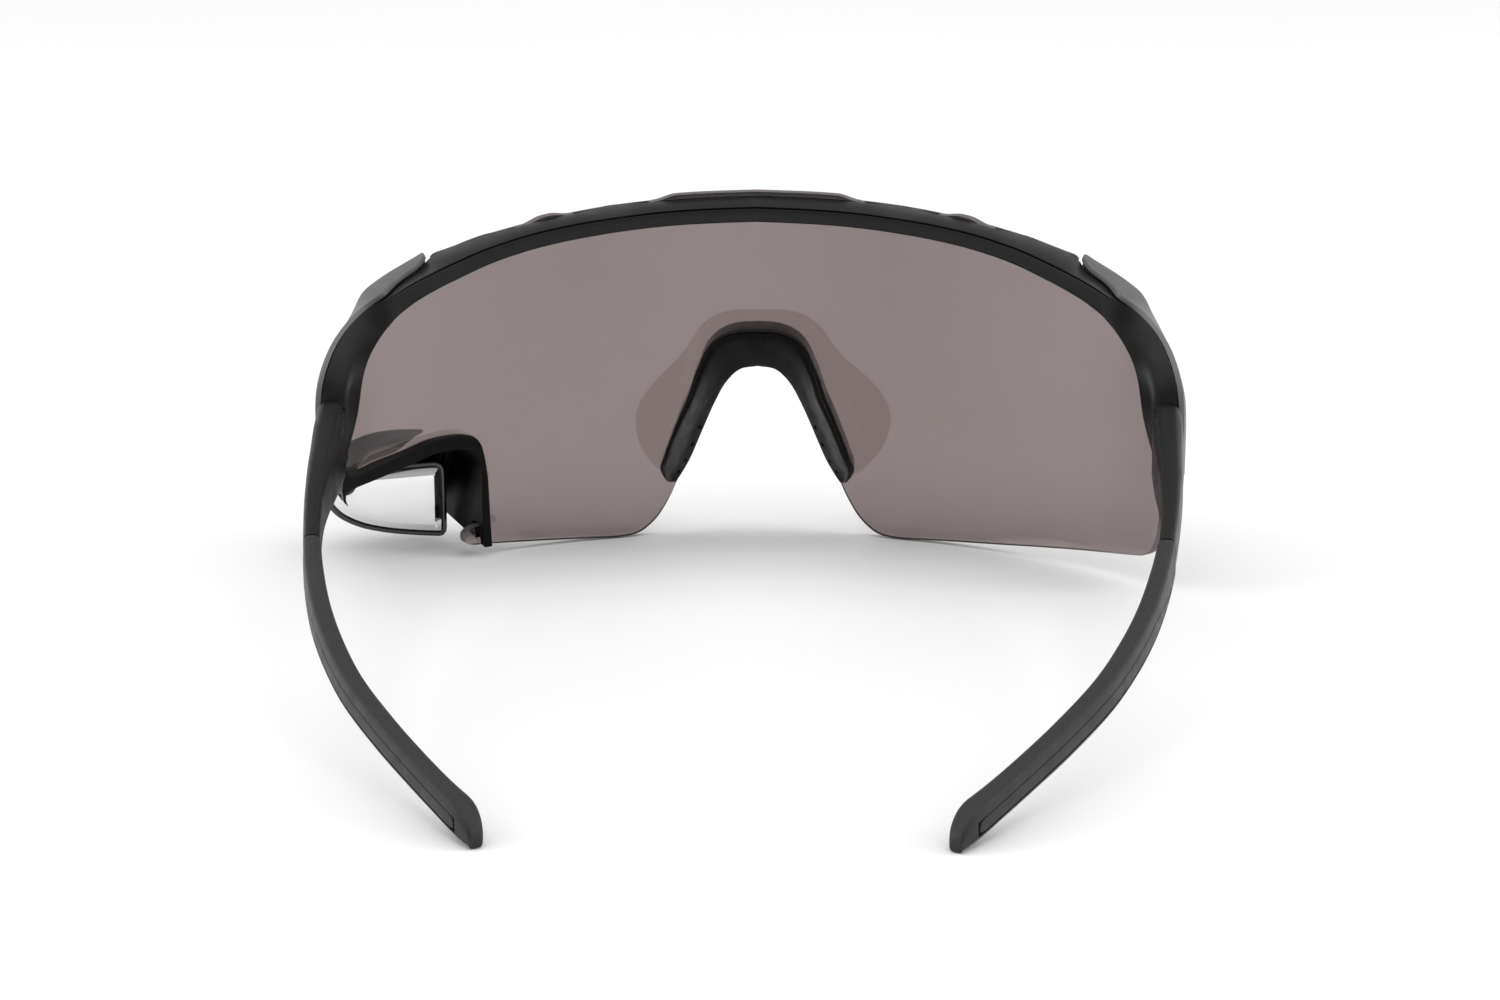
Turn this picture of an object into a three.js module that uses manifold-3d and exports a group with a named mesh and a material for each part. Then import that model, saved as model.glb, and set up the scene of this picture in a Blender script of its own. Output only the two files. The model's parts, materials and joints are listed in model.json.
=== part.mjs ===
// Wraparound sport sunglasses with a shield lens, folding temples and a rear-view mirror pod.
// Millimetres, +Z up, +X to the wearer's left, +Y back towards the ears.
// While it is built, Y = 0 is the front face of the temples; the group then moves so that the
// origin is the middle of the footprint, on the surface that the glasses stand on.
import * as THREE from "three";
import { mergeVertices } from "three/addons/utils/BufferGeometryUtils.js";
import Module from "manifold-3d";

const wasm = await Module();
wasm.setup();

// ---------------------------------------------------------------- driving dimensions
const GAP = 0.3; // clearance between pieces that lie against each other
const ORIGIN = { x: 1.98, y: 35.06, z: -0.06 }; // middle of the footprint, from the temple front faces

const LENS = {
  radius: 88, // horizontal radius of the rear face
  crownRadius: 250, // vertical radius
  midHeight: 28, // height at which the lens bulges most
  lean: Math.tan(THREE.MathUtils.degToRad(2)), // the top leans forward
  axisY: 45.7, // the horizontal arc's centre
  thickness: 2,
  endAngle: 53.2,
};
const RIM_DEPTH = 5.4; // how far the brow stands behind the lens
const GROOVE = { width: 0.7, depth: 0.6 }; // parts the brow's rear rim from its top
const RAIL = { inner: 2.35, outer: 4.1, drop: 1.9, rise: -0.45, end: 38.6 };
const COVER = { inner: 2.35, outer: 3.9, thickness: 0.85 };
const PIVOT = { x: 69.95, y: 2.05, bore: 0.9, ear: 1.75 };
const HINGE_LEVELS = { lowerEar: [24.6, 27.0], upperEar: [31.3, 33.9] };
const SCREW = { shaft: 0.6, head: 1.0, headHeight: 0.7 };
const NUT = { radius: 1.1, height: 1.4, bore: 0.7 };
const SLEEVE_START = 41; // Y at which the rubber sleeve takes over from the bare arm
const TIP = { start: 110.3, end: 115.1, narrow: 0.3 }; // the sleeve rounds down to its tip like a hoof
const MIRROR = { x: 65.0, y: -27.6, z: 8.6, yaw: 19, glass: 1.6 };

// ---------------------------------------------------------------- shared maths
const V = (x, y, z) => new THREE.Vector3(x, y, z);
const lerp = THREE.MathUtils.lerp;
const smooth = (a, b, x) => THREE.MathUtils.smoothstep(x, a, b);

// A smooth function through knots [x, value, value, ...], sorted by x, held constant past both ends.
function through(knots) {
  const slope = (i, c) => {
    const a = knots[Math.max(i - 1, 0)];
    const b = knots[Math.min(i + 1, knots.length - 1)];
    return (b[c] - a[c]) / (b[0] - a[0]);
  };
  return (x) => {
    const last = knots.length - 1;
    const at = THREE.MathUtils.clamp(x, knots[0][0], knots[last][0]);
    let i = 0;
    while (i < last - 1 && at > knots[i + 1][0]) i++;
    const span = knots[i + 1][0] - knots[i][0];
    const t = (at - knots[i][0]) / span;
    const values = [];
    for (let c = 1; c < knots[0].length; c++) {
      const p0 = knots[i][c];
      const p1 = knots[i + 1][c];
      const m0 = slope(i, c) * span;
      const m1 = slope(i + 1, c) * span;
      const t2 = t * t;
      const t3 = t2 * t;
      values.push(
        (2 * t3 - 3 * t2 + 1) * p0 + (t3 - 2 * t2 + t) * m0 + (3 * t2 - 2 * t3) * p1 + (t3 - t2) * m1,
      );
    }
    return values;
  };
}

// A point of the lens's rear face at an angle (degrees) and height, moved out along its normal.
function onLens(angle, z, out = 0) {
  const rho = LENS.radius - (z - LENS.midHeight) ** 2 / (2 * LENS.crownRadius) + out;
  const a = THREE.MathUtils.degToRad(angle);
  const y = LENS.axisY - rho * Math.cos(a) - LENS.lean * (z - LENS.midHeight);
  return V(rho * Math.sin(a), y, z);
}
const ARC = (LENS.radius * Math.PI) / 180; // millimetres along the lens for each degree

// A closed body through rings that all have the same number of points, with flat ends.
function loft(rings) {
  const n = rings[0].length;
  const points = rings.flat();
  const faces = [];
  for (let r = 0; r + 1 < rings.length; r++) {
    for (let i = 0; i < n; i++) {
      const a = r * n + i;
      const b = r * n + ((i + 1) % n);
      faces.push([a, b, b + n], [a, b + n, a + n]);
    }
  }
  for (const [start, flip] of [
    [0, true],
    [(rings.length - 1) * n, false],
  ]) {
    for (const [a, b, c] of capFaces(points.slice(start, start + n))) {
      faces.push(flip ? [start + c, start + b, start + a] : [start + a, start + b, start + c]);
    }
  }
  return closedGeometry(points, faces);
}

// Triangles over one ring, turned so that they run the ring's own way round.
function capFaces(ring) {
  const normal = V(0, 0, 0);
  ring.forEach((p, i) => normal.add(p.clone().cross(ring[(i + 1) % ring.length])));
  normal.normalize();
  const u = V(1, 0, 0).cross(normal);
  if (u.length() < 0.3) u.copy(V(0, 1, 0).cross(normal));
  u.normalize();
  const v = normal.clone().cross(u);
  const flat = ring.map((p) => new THREE.Vector2(p.dot(u), p.dot(v)));
  const faces = THREE.ShapeUtils.triangulateShape(flat, []);
  return faces.map(([a, b, c]) => {
    const turn = flat[b].clone().sub(flat[a]).cross(flat[c].clone().sub(flat[a]));
    return turn < 0 ? [a, c, b] : [a, b, c];
  });
}

// Faces turned outwards: a negative signed volume means that they all point in.
function closedGeometry(points, faces) {
  let volume = 0;
  for (const [a, b, c] of faces) volume += points[a].dot(points[b].clone().cross(points[c]));
  const index = faces.flatMap(([a, b, c]) => (volume < 0 ? [a, c, b] : [a, b, c]));
  const geometry = new THREE.BufferGeometry().setFromPoints(points);
  geometry.setIndex(index);
  return geometry;
}

// Booleans.
function solid(geometry) {
  const bare = geometry.clone();
  bare.deleteAttribute("normal");
  bare.deleteAttribute("uv");
  const merged = mergeVertices(bare, 1e-4);
  return new wasm.Manifold(
    new wasm.Mesh({
      numProp: 3,
      vertProperties: new Float32Array(merged.attributes.position.array),
      triVerts: new Uint32Array(merged.index.array),
    }),
  );
}
function geometryOf(manifold) {
  const mesh = manifold.getMesh();
  const geometry = new THREE.BufferGeometry();
  geometry.setAttribute("position", new THREE.BufferAttribute(mesh.vertProperties, 3));
  geometry.setIndex(new THREE.BufferAttribute(mesh.triVerts, 1));
  return geometry;
}
function cut(geometry, ...tools) {
  return geometryOf(tools.reduce((body, tool) => body.subtract(solid(tool)), solid(geometry)));
}
function join(geometry, ...others) {
  return geometryOf(others.reduce((body, other) => body.add(solid(other)), solid(geometry)));
}
function mirrored(geometry) {
  const other = geometry.clone().applyMatrix4(new THREE.Matrix4().makeScale(-1, 1, 1));
  const index = Array.from(other.index.array);
  for (let i = 0; i < index.length; i += 3) [index[i + 1], index[i + 2]] = [index[i + 2], index[i + 1]];
  return other.setIndex(index);
}
// An upright round bar between two heights.
function upright(x, y, radius, low, high, sides = 20) {
  const bar = new THREE.CylinderGeometry(radius, radius, high - low, sides);
  return bar.rotateX(Math.PI / 2).translate(x, y, (low + high) / 2);
}
function block(x, y, z) {
  const box = new THREE.BoxGeometry(x[1] - x[0], y[1] - y[0], z[1] - z[0]);
  return box.translate((x[0] + x[1]) / 2, (y[0] + y[1]) / 2, (z[0] + z[1]) / 2);
}

// ---------------------------------------------------------------- materials
const finish = (color, roughness, metalness = 0) =>
  new THREE.MeshStandardMaterial({ color, roughness, metalness });
const SATIN_BLACK = finish(0x1d1d1f, 0.5);
const GLOSS_BLACK = finish(0x101011, 0.2);
const RUBBER = finish(0x2b2b2d, 0.85);
const SMOKE = new THREE.MeshStandardMaterial({
  color: 0x8f8280,
  roughness: 0.05,
  transparent: true,
  opacity: 0.7,
});
const STEEL = finish(0xa9abae, 0.3, 1);
const SILVERED = finish(0xf0f1f2, 0.03, 1);

// ---------------------------------------------------------------- lens outline
// Height of the lens's top edge: it follows the brow, steps down where the shoulder covers
// start, and turns down round the outer corner.
const browEdge = through([
  [0, 61.6],
  [10, 61.15],
  [20, 59.9],
  [31, 57.4],
  [36, 55.85],
  [39.3, 54.8],
  [41.2, 53.3],
  [44, 51.45],
  [47, 48.7],
  [49.3, 44.8],
  [51, 41],
  [52.2, 37.2],
  [53, 33],
  [53.2, 27],
]);
// How far the brow's tabs reach over the lens edge: 1 at the tabs, 0 along the three vents.
function tab(angle, margin = 0) {
  const a = Math.abs(angle);
  const middle = 1 - smooth(0.9 + margin, 3.6 + margin, Math.abs(a - 17));
  const end = smooth(29.4 - margin, 32 - margin, a);
  return Math.max(middle, end);
}
const TAB_THICKNESS = 0.8;
const VENT_RISE = 0.8; // how far the lens stands above the brow's edge in the vents
const lensTop = (angle) => {
  const a = Math.abs(angle);
  const notch = Math.min(1, 3 * tab(angle, 1.3));
  const below = notch * (1 - smooth(40.5, 42.5, a)) * (TAB_THICKNESS + GAP + 0.25);
  return browEdge(a)[0] - 0.05 - below + VENT_RISE * (1 - notch);
};
// The lower outline from the middle of the nose notch outwards: [angle, height].
const NOSE_SIDE = [
  [0, 34.2],
  [1.5, 34.0],
  [3.0, 33.1],
  [4.3, 31.0],
  [5.4, 27.8],
  [6.3, 24.3],
  [7.0, 20.8],
  [7.6, 17.3],
  [8.3, 14],
  [9.5, 9.9],
  [10.7, 6.2],
  [12.2, 2.9],
  [14.2, 0.6],
  [16.3, 0.02],
];
const PLAIN_SIDE = [
  [20, 0.2],
  [24.7, 0.65],
  [29.9, 1.3],
  [36.7, 2.5],
  [44, 4.0],
  [48.7, 5.1],
  [50.9, 5.9],
  [52.2, 7.6],
  [52.8, 10.5],
  [53.1, 14],
  [LENS.endAngle, 19],
];
// The opening for the mirror pod, with a round tongue of lens left at its inner foot and a
// corner of lens left at its outer end.
const POD_OPENING = [
  [36.2, 3.2],
  [35.9, 4.5],
  [35.1, 5.2],
  [33.7, 5.5],
  [33.0, 6.6],
  [32.9, 10.5],
  [33.0, 15.6],
  [33.7, 20.0],
  [35.8, 21.9],
  [39.6, 22.2],
  [44, 21.1],
  [48.6, 20.3],
  [50.3, 19.6],
  [50.7, 17.6],
  [51.4, 16.4],
  [52.6, 16.2],
  [60, 16.4],
];
function lowerOutline(steps) {
  const knots = [...NOSE_SIDE, ...PLAIN_SIDE].map(([a, z]) => V(a * ARC, z, 0));
  const curve = new THREE.CatmullRomCurve3(knots, false, "centripetal");
  return curve.getSpacedPoints(steps).map((p) => [p.x / ARC, p.y]);
}

// ---------------------------------------------------------------- lens
// A block whose outline, as [angle, height], is carried through the lens between two levels.
function throughLens(outline, rear, front) {
  return loft([rear, front].map((out) => outline.map(([a, z]) => onLens(a, z, out))));
}
function podOpeningOutline() {
  const knots = POD_OPENING.map(([a, z]) => V(a * ARC, z, 0));
  const curve = new THREE.CatmullRomCurve3(knots, false, "centripetal");
  const edge = curve.getSpacedPoints(34).map((p) => [p.x / ARC, p.y]);
  return [[36.2, -4], ...edge, [60, -4]];
}
function lensGeometry() {
  const half = lowerOutline(48);
  const outline = [...half.map(([a, z]) => [-a, z]).reverse(), ...half.slice(1)];
  const rows = 4;
  const rings = outline.map(([angle, low]) => {
    const high = lensTop(angle);
    const ring = [];
    for (let i = 0; i <= rows; i++) ring.push(onLens(angle, lerp(low, high, i / rows)));
    for (let i = rows; i >= 0; i--) ring.push(onLens(angle, lerp(low, high, i / rows), LENS.thickness));
    return ring;
  });
  return cut(loft(rings), throughLens(podOpeningOutline(), -3, LENS.thickness + 4));
}

// ---------------------------------------------------------------- frame
// Half of the brow as stations along its lower rear edge: angle, height, height of the rear face,
// distance to the front top edge.
const browHalf = through([
  [0, 0, 57.9, 2.5, 3.7],
  [1, 12.5, 57.3, 2.5, 3.6],
  [2, 24.7, 55.75, 2.6, 3.45],
  [3, 32.6, 53.85, 2.75, 3.3],
  [4, 38.2, 51.7, 3.0, 3.25],
  [4.4, 40.6, 50.75, 3.1, 2.75],
  [5, 43.7, 49.35, 3.35, 2.5],
  [6, 46.8, 47.5, 3.9, 2.3],
]);
// The rest of the half, down to the hinge: rear edges a (inner), b and g (outer) as points, then
// the front edges d (inner) and c (outer) as [angle, height].
const END_STATIONS = [
  [62.4, -8.1, 44.7, 64.0, -8.7, 46.8, 65.4, -9.7, 48.9, 48.5, 44.4, 48.3, 47.2],
  [64.5, -5.9, 41.2, 66.6, -6.0, 43.4, 68.9, -7.0, 45.4, 50.8, 41.2, 50.5, 43.2],
  [65.6, -4.6, 37.6, 67.6, -3.2, 39.6, 70.9, -3.4, 41.6, 51.8, 37.6, 52.2, 39.0],
  [66.2, -3.9, 33.6, 68.2, -0.6, 35.7, 72.1, -0.6, 37.0, 52.3, 33.6, 53.4, 34.8],
  [66.7, -3.1, 31, 68.3, 0, 31.6, 72.3, 0, 32, 52.4, 31, 53.7, 31],
  [67.6, -2.2, 27.8, 68.6, 0, 27.6, 72.3, 0, 25.5, 52.5, 27.4, 53.7, 25.5],
  [68.4, -2.2, 25.6, 69.0, 0, 25.0, 72.3, 0, 20.2, 52.6, 25.0, 53.7, 20.4],
];
// One brow station as its nine corner points.
function browRing(k) {
  const [angle, z, rear, front] = browHalf(k);
  const step = 0.02;
  const [a1, z1] = browHalf(Math.min(k + step, 6));
  const [a0, z0] = browHalf(Math.max(k - step, -step));
  const along = new THREE.Vector2((a1 - a0) * ARC, z1 - z0).normalize();
  if (k < step) along.set(1, 0);
  const place = (height) => [angle - (along.y * height) / ARC, z + along.x * height];
  const at = (height, out) => onLens(...place(height), out);
  const a = at(0, -RIM_DEPTH);
  const b = at(rear / 2, -RIM_DEPTH);
  const g = at(rear, -RIM_DEPTH + 0.2);
  return { a, b, g, at, place, front, angle };
}
function ringPoints(station) {
  const { a, b, g, c, d, e, f } = station;
  const across = c.clone().sub(g).normalize();
  const deep = a.clone().add(d).multiplyScalar(0.5).sub(g).normalize();
  const groove = g.clone().addScaledVector(across, GROOVE.width / 2).addScaledVector(deep, GROOVE.depth);
  const lip = g.clone().addScaledVector(across, GROOVE.width);
  return [a, b, g, groove, lip, c, e, f, d];
}
function frameStations() {
  const list = [];
  const perStep = 6;
  for (let i = 0; i <= 6 * perStep; i++) {
    const { a, b, g, at, front, angle } = browRing(i / perStep);
    const reach = -GAP + 0.02 + tab(angle) * (RAIL.inner - 0.3) * (1 - smooth(39, 41, angle));
    list.push({
      a,
      b,
      g,
      c: at(front, reach),
      e: at(front - TAB_THICKNESS, reach),
      f: at(front - TAB_THICKNESS, -GAP),
      d: at(0.05, -GAP),
    });
  }
  // The curve down to the hinge starts with the last brow stations, so that it runs on smoothly.
  const rows = [5, 5.5, 6].map((k) => {
    const { a, b, g, place, front } = browRing(k);
    return [k, ...a, ...b, ...g, ...place(0.05), ...place(front)];
  });
  END_STATIONS.forEach((row, i) => rows.push([7 + i, ...row]));
  const end = through(rows);
  for (let i = 1; i <= 3 * END_STATIONS.length; i++) {
    const row = end(6 + i / 3);
    const d = onLens(row[9], row[10], -GAP);
    const c = onLens(row[11], row[12], -GAP + 0.02);
    const e = onLensNear(c.clone().lerp(d, 0.18));
    const f = onLensNear(c.clone().lerp(d, 0.24));
    list.push({ a: V(...row.slice(0, 3)), b: V(...row.slice(3, 6)), g: V(...row.slice(6, 9)), c, e, f, d });
  }
  return list;
}
// The point pushed onto the surface just behind the lens.
function onLensNear(p) {
  const y = p.y + LENS.lean * (p.z - LENS.midHeight);
  const angle = THREE.MathUtils.radToDeg(Math.atan2(p.x, LENS.axisY - y));
  return onLens(angle, p.z, -GAP);
}
function frameGeometry() {
  const half = frameStations().map(ringPoints);
  const flip = (ring) => ring.map((p) => V(-p.x, p.y, p.z));
  const rings = [...half.slice(1).reverse().map(flip), ...half];
  let body = solid(loft(rings));
  for (const side of [-1, 1]) {
    for (const [low, high] of [HINGE_LEVELS.lowerEar, HINGE_LEVELS.upperEar]) {
      const x = side * PIVOT.x;
      body = body.add(solid(upright(x, PIVOT.y, PIVOT.ear, low, high)));
      const root = [Math.min(x - PIVOT.ear, x + PIVOT.ear), Math.max(x - PIVOT.ear, x + PIVOT.ear)];
      body = body.add(solid(block(root, [-1.2, PIVOT.y], [low, high])));
    }
    const bore = upright(side * PIVOT.x, PIVOT.y, PIVOT.bore, 20, HINGE_LEVELS.upperEar[0] + 0.9);
    const seat = upright(side * PIVOT.x, PIVOT.y, SCREW.head + GAP, 20, HINGE_LEVELS.lowerEar[0] + 1.0);
    const pocket = upright(
      side * PIVOT.x,
      PIVOT.y,
      NUT.radius + 0.1,
      HINGE_LEVELS.upperEar[0] + 0.8,
      HINGE_LEVELS.upperEar[1] + 1,
    );
    body = body.subtract(solid(bore)).subtract(solid(seat)).subtract(solid(pocket));
  }
  return geometryOf(body);
}

// ---------------------------------------------------------------- rail and shoulder covers
function railGeometry() {
  const rings = [];
  const steps = 56;
  for (let i = 0; i <= steps; i++) {
    const angle = lerp(-RAIL.end, RAIL.end, i / steps);
    const top = browEdge(Math.abs(angle))[0];
    const shrink = 1 - Math.sqrt(Math.max(0, 1 - smooth(RAIL.end - 0.7, RAIL.end, Math.abs(angle)) * 0.75));
    const low = top - RAIL.drop + shrink * 0.4;
    const high = top + RAIL.rise - shrink * 0.3;
    rings.push([
      onLens(angle, low, RAIL.inner),
      onLens(angle, high - 0.05, RAIL.inner),
      onLens(angle, high, RAIL.inner + 0.5),
      onLens(angle, high - 0.2, RAIL.outer - 0.2 - shrink * 0.5),
      onLens(angle, high - 0.5, RAIL.outer - shrink * 0.5),
      onLens(angle, low + 0.3, RAIL.outer - 0.2 - shrink * 0.5),
      onLens(angle, low, RAIL.outer - 0.6 - shrink * 0.3),
    ]);
  }
  return loft(rings);
}
const UNDER = GAP + 0.25; // a cover's clearance over the brow
function coverGeometry() {
  const stations = frameStations();
  const first = 25; // just outside the notch that parts it from the rail
  const used = stations.slice(first);
  const rings = used.map((s, i) => {
    const before = stations[first + i - 1];
    const after = stations[Math.min(first + i + 1, stations.length - 1)];
    const along = after.c.clone().sub(before.c).normalize();
    const across = s.g.clone().sub(s.c).normalize();
    const out = across.clone().cross(along).normalize();
    if (out.dot(s.c.clone().sub(s.d)) < 0) out.negate();
    const back = smooth(0.05, 0.6, i / used.length);
    const rear = s.c.clone().lerp(s.g, back).addScaledVector(across, -0.05);
    const front = onFront(s.c, COVER.inner);
    const forward = onFront(s.c, COVER.outer);
    const inner = onFront(s.d.clone().lerp(s.c, 0.05), COVER.inner);
    const innerFace = onFront(s.d.clone().lerp(s.c, 0.05), COVER.outer - 0.5);
    const lift = (p, h) => p.clone().addScaledVector(out, h);
    return [
      inner,
      innerFace,
      lift(forward, -0.5),
      lift(forward, 0.35).lerp(lift(front, UNDER + COVER.thickness), 0.35),
      lift(front, UNDER + COVER.thickness),
      lift(rear, UNDER + COVER.thickness - 0.15),
      lift(rear, UNDER),
      lift(front, UNDER),
    ];
  });
  return loft(rings);
}
// The point's angle and height, moved to a surface in front of the lens.
function onFront(p, out) {
  const y = p.y + LENS.lean * (p.z - LENS.midHeight);
  const angle = THREE.MathUtils.radToDeg(Math.atan2(p.x, LENS.axisY - y));
  return onLens(angle, p.z, out);
}

// ---------------------------------------------------------------- temples
// Centre line and section of the left temple: Y, centre X, top Z, thickness, height.
const temple = through([
  [0, 70.5, 35.8, 5.1, 14.0],
  [7, 70.4, 33.9, 5.1, 12.4],
  [14, 70.25, 31.9, 4.6, 10.8],
  [20, 70.2, 30.2, 4.0, 9.4],
  [27, 69.95, 28.2, 3.3, 8.2],
  [34, 69.35, 26.2, 2.95, 7.3],
  [41, 68.5, 24.2, 2.8, 6.6],
  [50, 66.9, 21.8, 2.95, 6.3],
  [60, 64.5, 19.1, 3.05, 6.0],
  [70, 61.2, 16.5, 3.1, 5.7],
  [80, 56.95, 13.9, 3.1, 5.4],
  [91, 50.7, 11.0, 3.1, 5.2],
  [100, 45.0, 8.7, 3.2, 5.0],
  [107, 40.25, 6.9, 3.5, 4.9],
  [112, 36.45, 5.6, 4.0, 5.0],
  [TIP.end, 33.65, 4.75, 4.0, 4.7],
]);
// One station: its centre and the two unit vectors across it, out and up.
function templeStation(y) {
  const [x, top, thick, tall] = temple(y);
  const [x1, top1, , tall1] = temple(y + 0.5);
  const [x0, top0, , tall0] = temple(y - 0.5);
  const along = V(x1 - x0, y > 0.4 ? 1 : 0.5, top1 - tall1 / 2 - top0 + tall0 / 2).normalize();
  const out = along.clone().cross(V(0, 0, 1)).normalize();
  const up = V(0, 0, 1);
  return { centre: V(x, y, top - tall / 2), along, out, up, thick, tall };
}
// Section corners: [across, up] as shares of half the thickness and half the height.
const SECTION = [
  [-1, -0.72],
  [-1, 0.78],
  [-0.6, 1],
  [0.5, 1],
  [0.86, 0.86],
  [1.0, 0.5],
  [1.0, -0.5],
  [0.8, -0.9],
  [0.4, -1],
  [-0.6, -1],
];
function templeRing(y, grow = 0, shape = SECTION) {
  const s = templeStation(y);
  return shape.map(([a, b]) =>
    s.centre
      .clone()
      .addScaledVector(s.out, a * (s.thick / 2 + grow))
      .addScaledVector(s.up, b * (s.tall / 2 + grow)),
  );
}
// The tang inside the sleeve stands near its inner face, clear of the inlay strip. Grown, it is the
// sleeve's pocket.
const TANG = { inner: 0.6, outer: 0.1, shy: 0.85, end: 96 };
const TANG_STATIONS = [SLEEVE_START, 50, 60, 70, 80, 88, TANG.end];
function tangRing(y, grow, shape) {
  const s = templeStation(y);
  return shape.map(([a, b]) => {
    const across = lerp(TANG.inner - s.thick / 2 - grow, TANG.outer + grow, (a + 1) / 2);
    const up = b * (s.tall / 2 - TANG.shy + grow);
    return s.centre.clone().addScaledVector(s.out, across).addScaledVector(s.up, up);
  });
}
function armGeometry() {
  const rings = [];
  // The front inner edge is rounded about the pivot, so it can turn past the frame.
  for (const y of [GAP, 0.5, 0.85, 1.35, PIVOT.y]) {
    const reach = Math.sqrt(Math.max(0, PIVOT.ear ** 2 - (PIVOT.y - y) ** 2));
    const inner = PIVOT.x - reach;
    rings.push(
      templeRing(PIVOT.y).map((p) => V(Math.max(p.x, inner + (p.x - PIVOT.x + PIVOT.ear) * 0.02), y, p.z)),
    );
  }
  for (const y of [5, 9, 14, 20, 27, 34, SLEEVE_START - 0.2]) rings.push(templeRing(y));
  for (const y of TANG_STATIONS) rings.push(tangRing(y, 0, SECTION));
  let body = solid(loft(rings));
  const clear = PIVOT.ear + GAP;
  for (const [low, high] of [HINGE_LEVELS.lowerEar, HINGE_LEVELS.upperEar]) {
    const span = [low - GAP, high + GAP];
    body = body.subtract(solid(upright(PIVOT.x, PIVOT.y, clear, ...span, 28)));
    body = body.subtract(solid(block([PIVOT.x - clear - 1, PIVOT.x + clear], [-1, PIVOT.y], span)));
    body = body.subtract(solid(block([PIVOT.x - clear - 1, PIVOT.x], [-1, PIVOT.y + clear], span)));
  }
  const bore = upright(PIVOT.x, PIVOT.y, PIVOT.bore, 20, HINGE_LEVELS.upperEar[1] - 1);
  return geometryOf(body.subtract(solid(bore)));
}
// The outer face of the sleeve is sunk between two heights, where the inlay strip lies.
const INLAY = { start: 47, end: 112, low: -0.62, high: 0.3, depth: 0.75, groove: 0.3 };
const SKIN = 0.12; // how far the sleeve stands proud of the bare arm
function inlayShare(y) {
  const grow = smooth(INLAY.start, INLAY.start + 14, y);
  return lerp(-0.35, INLAY.high, grow);
}
// How much of the section's height is left as the sleeve rounds down to its tip.
function hoof(y) {
  const t = THREE.MathUtils.clamp((y - TIP.start) / (TIP.end - TIP.start), 0, 1);
  return Math.sqrt(1 - t * t);
}
// A share of the half height, lowered towards the underside as the tip rounds down.
const lowered = (y, share) => (share + 1) * hoof(y) - 1;
function sleeveShape(y, depth = 0) {
  const high = inlayShare(y);
  const edge = 0.02;
  const shape = [
    [-1, -0.72],
    [-1, 0.78],
    [-0.6, 1],
    [0.5, 1],
    [0.86, 0.86],
    [1, high],
    [1 - depth, high - edge],
    [1 - depth, INLAY.low + edge],
    [1, INLAY.low],
    [0.8, -0.9],
    [0.4, -1],
    [-0.6, -1],
  ];
  const narrow = lerp(TIP.narrow, 1, hoof(y));
  return shape.map(([a, b]) => [1 - (1 - a) * narrow, lowered(y, b)]);
}
function sleeveRing(y, sunk) {
  const depth = sunk ? INLAY.depth / (templeStation(y).thick / 2 + SKIN) : 0;
  return templeRing(y, SKIN, sleeveShape(y, depth));
}
function sleeveGeometry() {
  const rings = [];
  for (const y of [115, 114.8, 114.4, 113.8, 113, INLAY.end + 0.1]) rings.push(sleeveRing(y, false));
  const sunk = [INLAY.end - 0.3, 110.6, 109, 106, 101, 96, 91, 86, 81, 76, 71, 66, 61, 56, 51.5, 47.4];
  for (const y of sunk) rings.push(sleeveRing(y, true));
  for (const y of [INLAY.start - 0.1, 44, SLEEVE_START + 0.15]) rings.push(sleeveRing(y, false));
  const pocket = [SLEEVE_START + 0.15, ...TANG_STATIONS.slice(1, -1), TANG.end + GAP];
  for (const y of pocket) rings.push(tangRing(y, GAP, sleeveShape(y)));
  return loft(rings);
}
function inlayGeometry() {
  const rings = [];
  const chamfer = 0.15;
  const rounding = 1.4; // length over which each end narrows
  const first = INLAY.start + 0.7;
  const last = INLAY.end - 0.6;
  const middles = [50, 55, 60, 65, 70, 75, 80, 85, 90, 95, 100, 105, 108];
  for (const y of [first + 0.2, 48.6, ...middles, last - 1.3, last - 0.3]) {
    const s = templeStation(y);
    const half = s.tall / 2 + SKIN;
    const top = lowered(y, inlayShare(y)) * half - INLAY.groove;
    const low = lowered(y, INLAY.low) * half + INLAY.groove;
    const middle = (top + low) / 2;
    const end = Math.min(y - first, last - y, rounding) / rounding;
    const tall = Math.max(0.25, (top - low) / 2) * Math.sqrt(Math.max(0.2, end));
    const face = s.thick / 2 + SKIN;
    const floor = face - INLAY.depth + GAP - 0.05;
    const point = (across, up) =>
      s.centre.clone().addScaledVector(s.out, across).addScaledVector(s.up, middle + up * tall);
    rings.push([
      point(floor, -1),
      point(floor, 1),
      point(face - chamfer, 1),
      point(face, 0.7),
      point(face, -0.7),
      point(face - chamfer, -1),
    ]);
  }
  return loft(rings);
}

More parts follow.
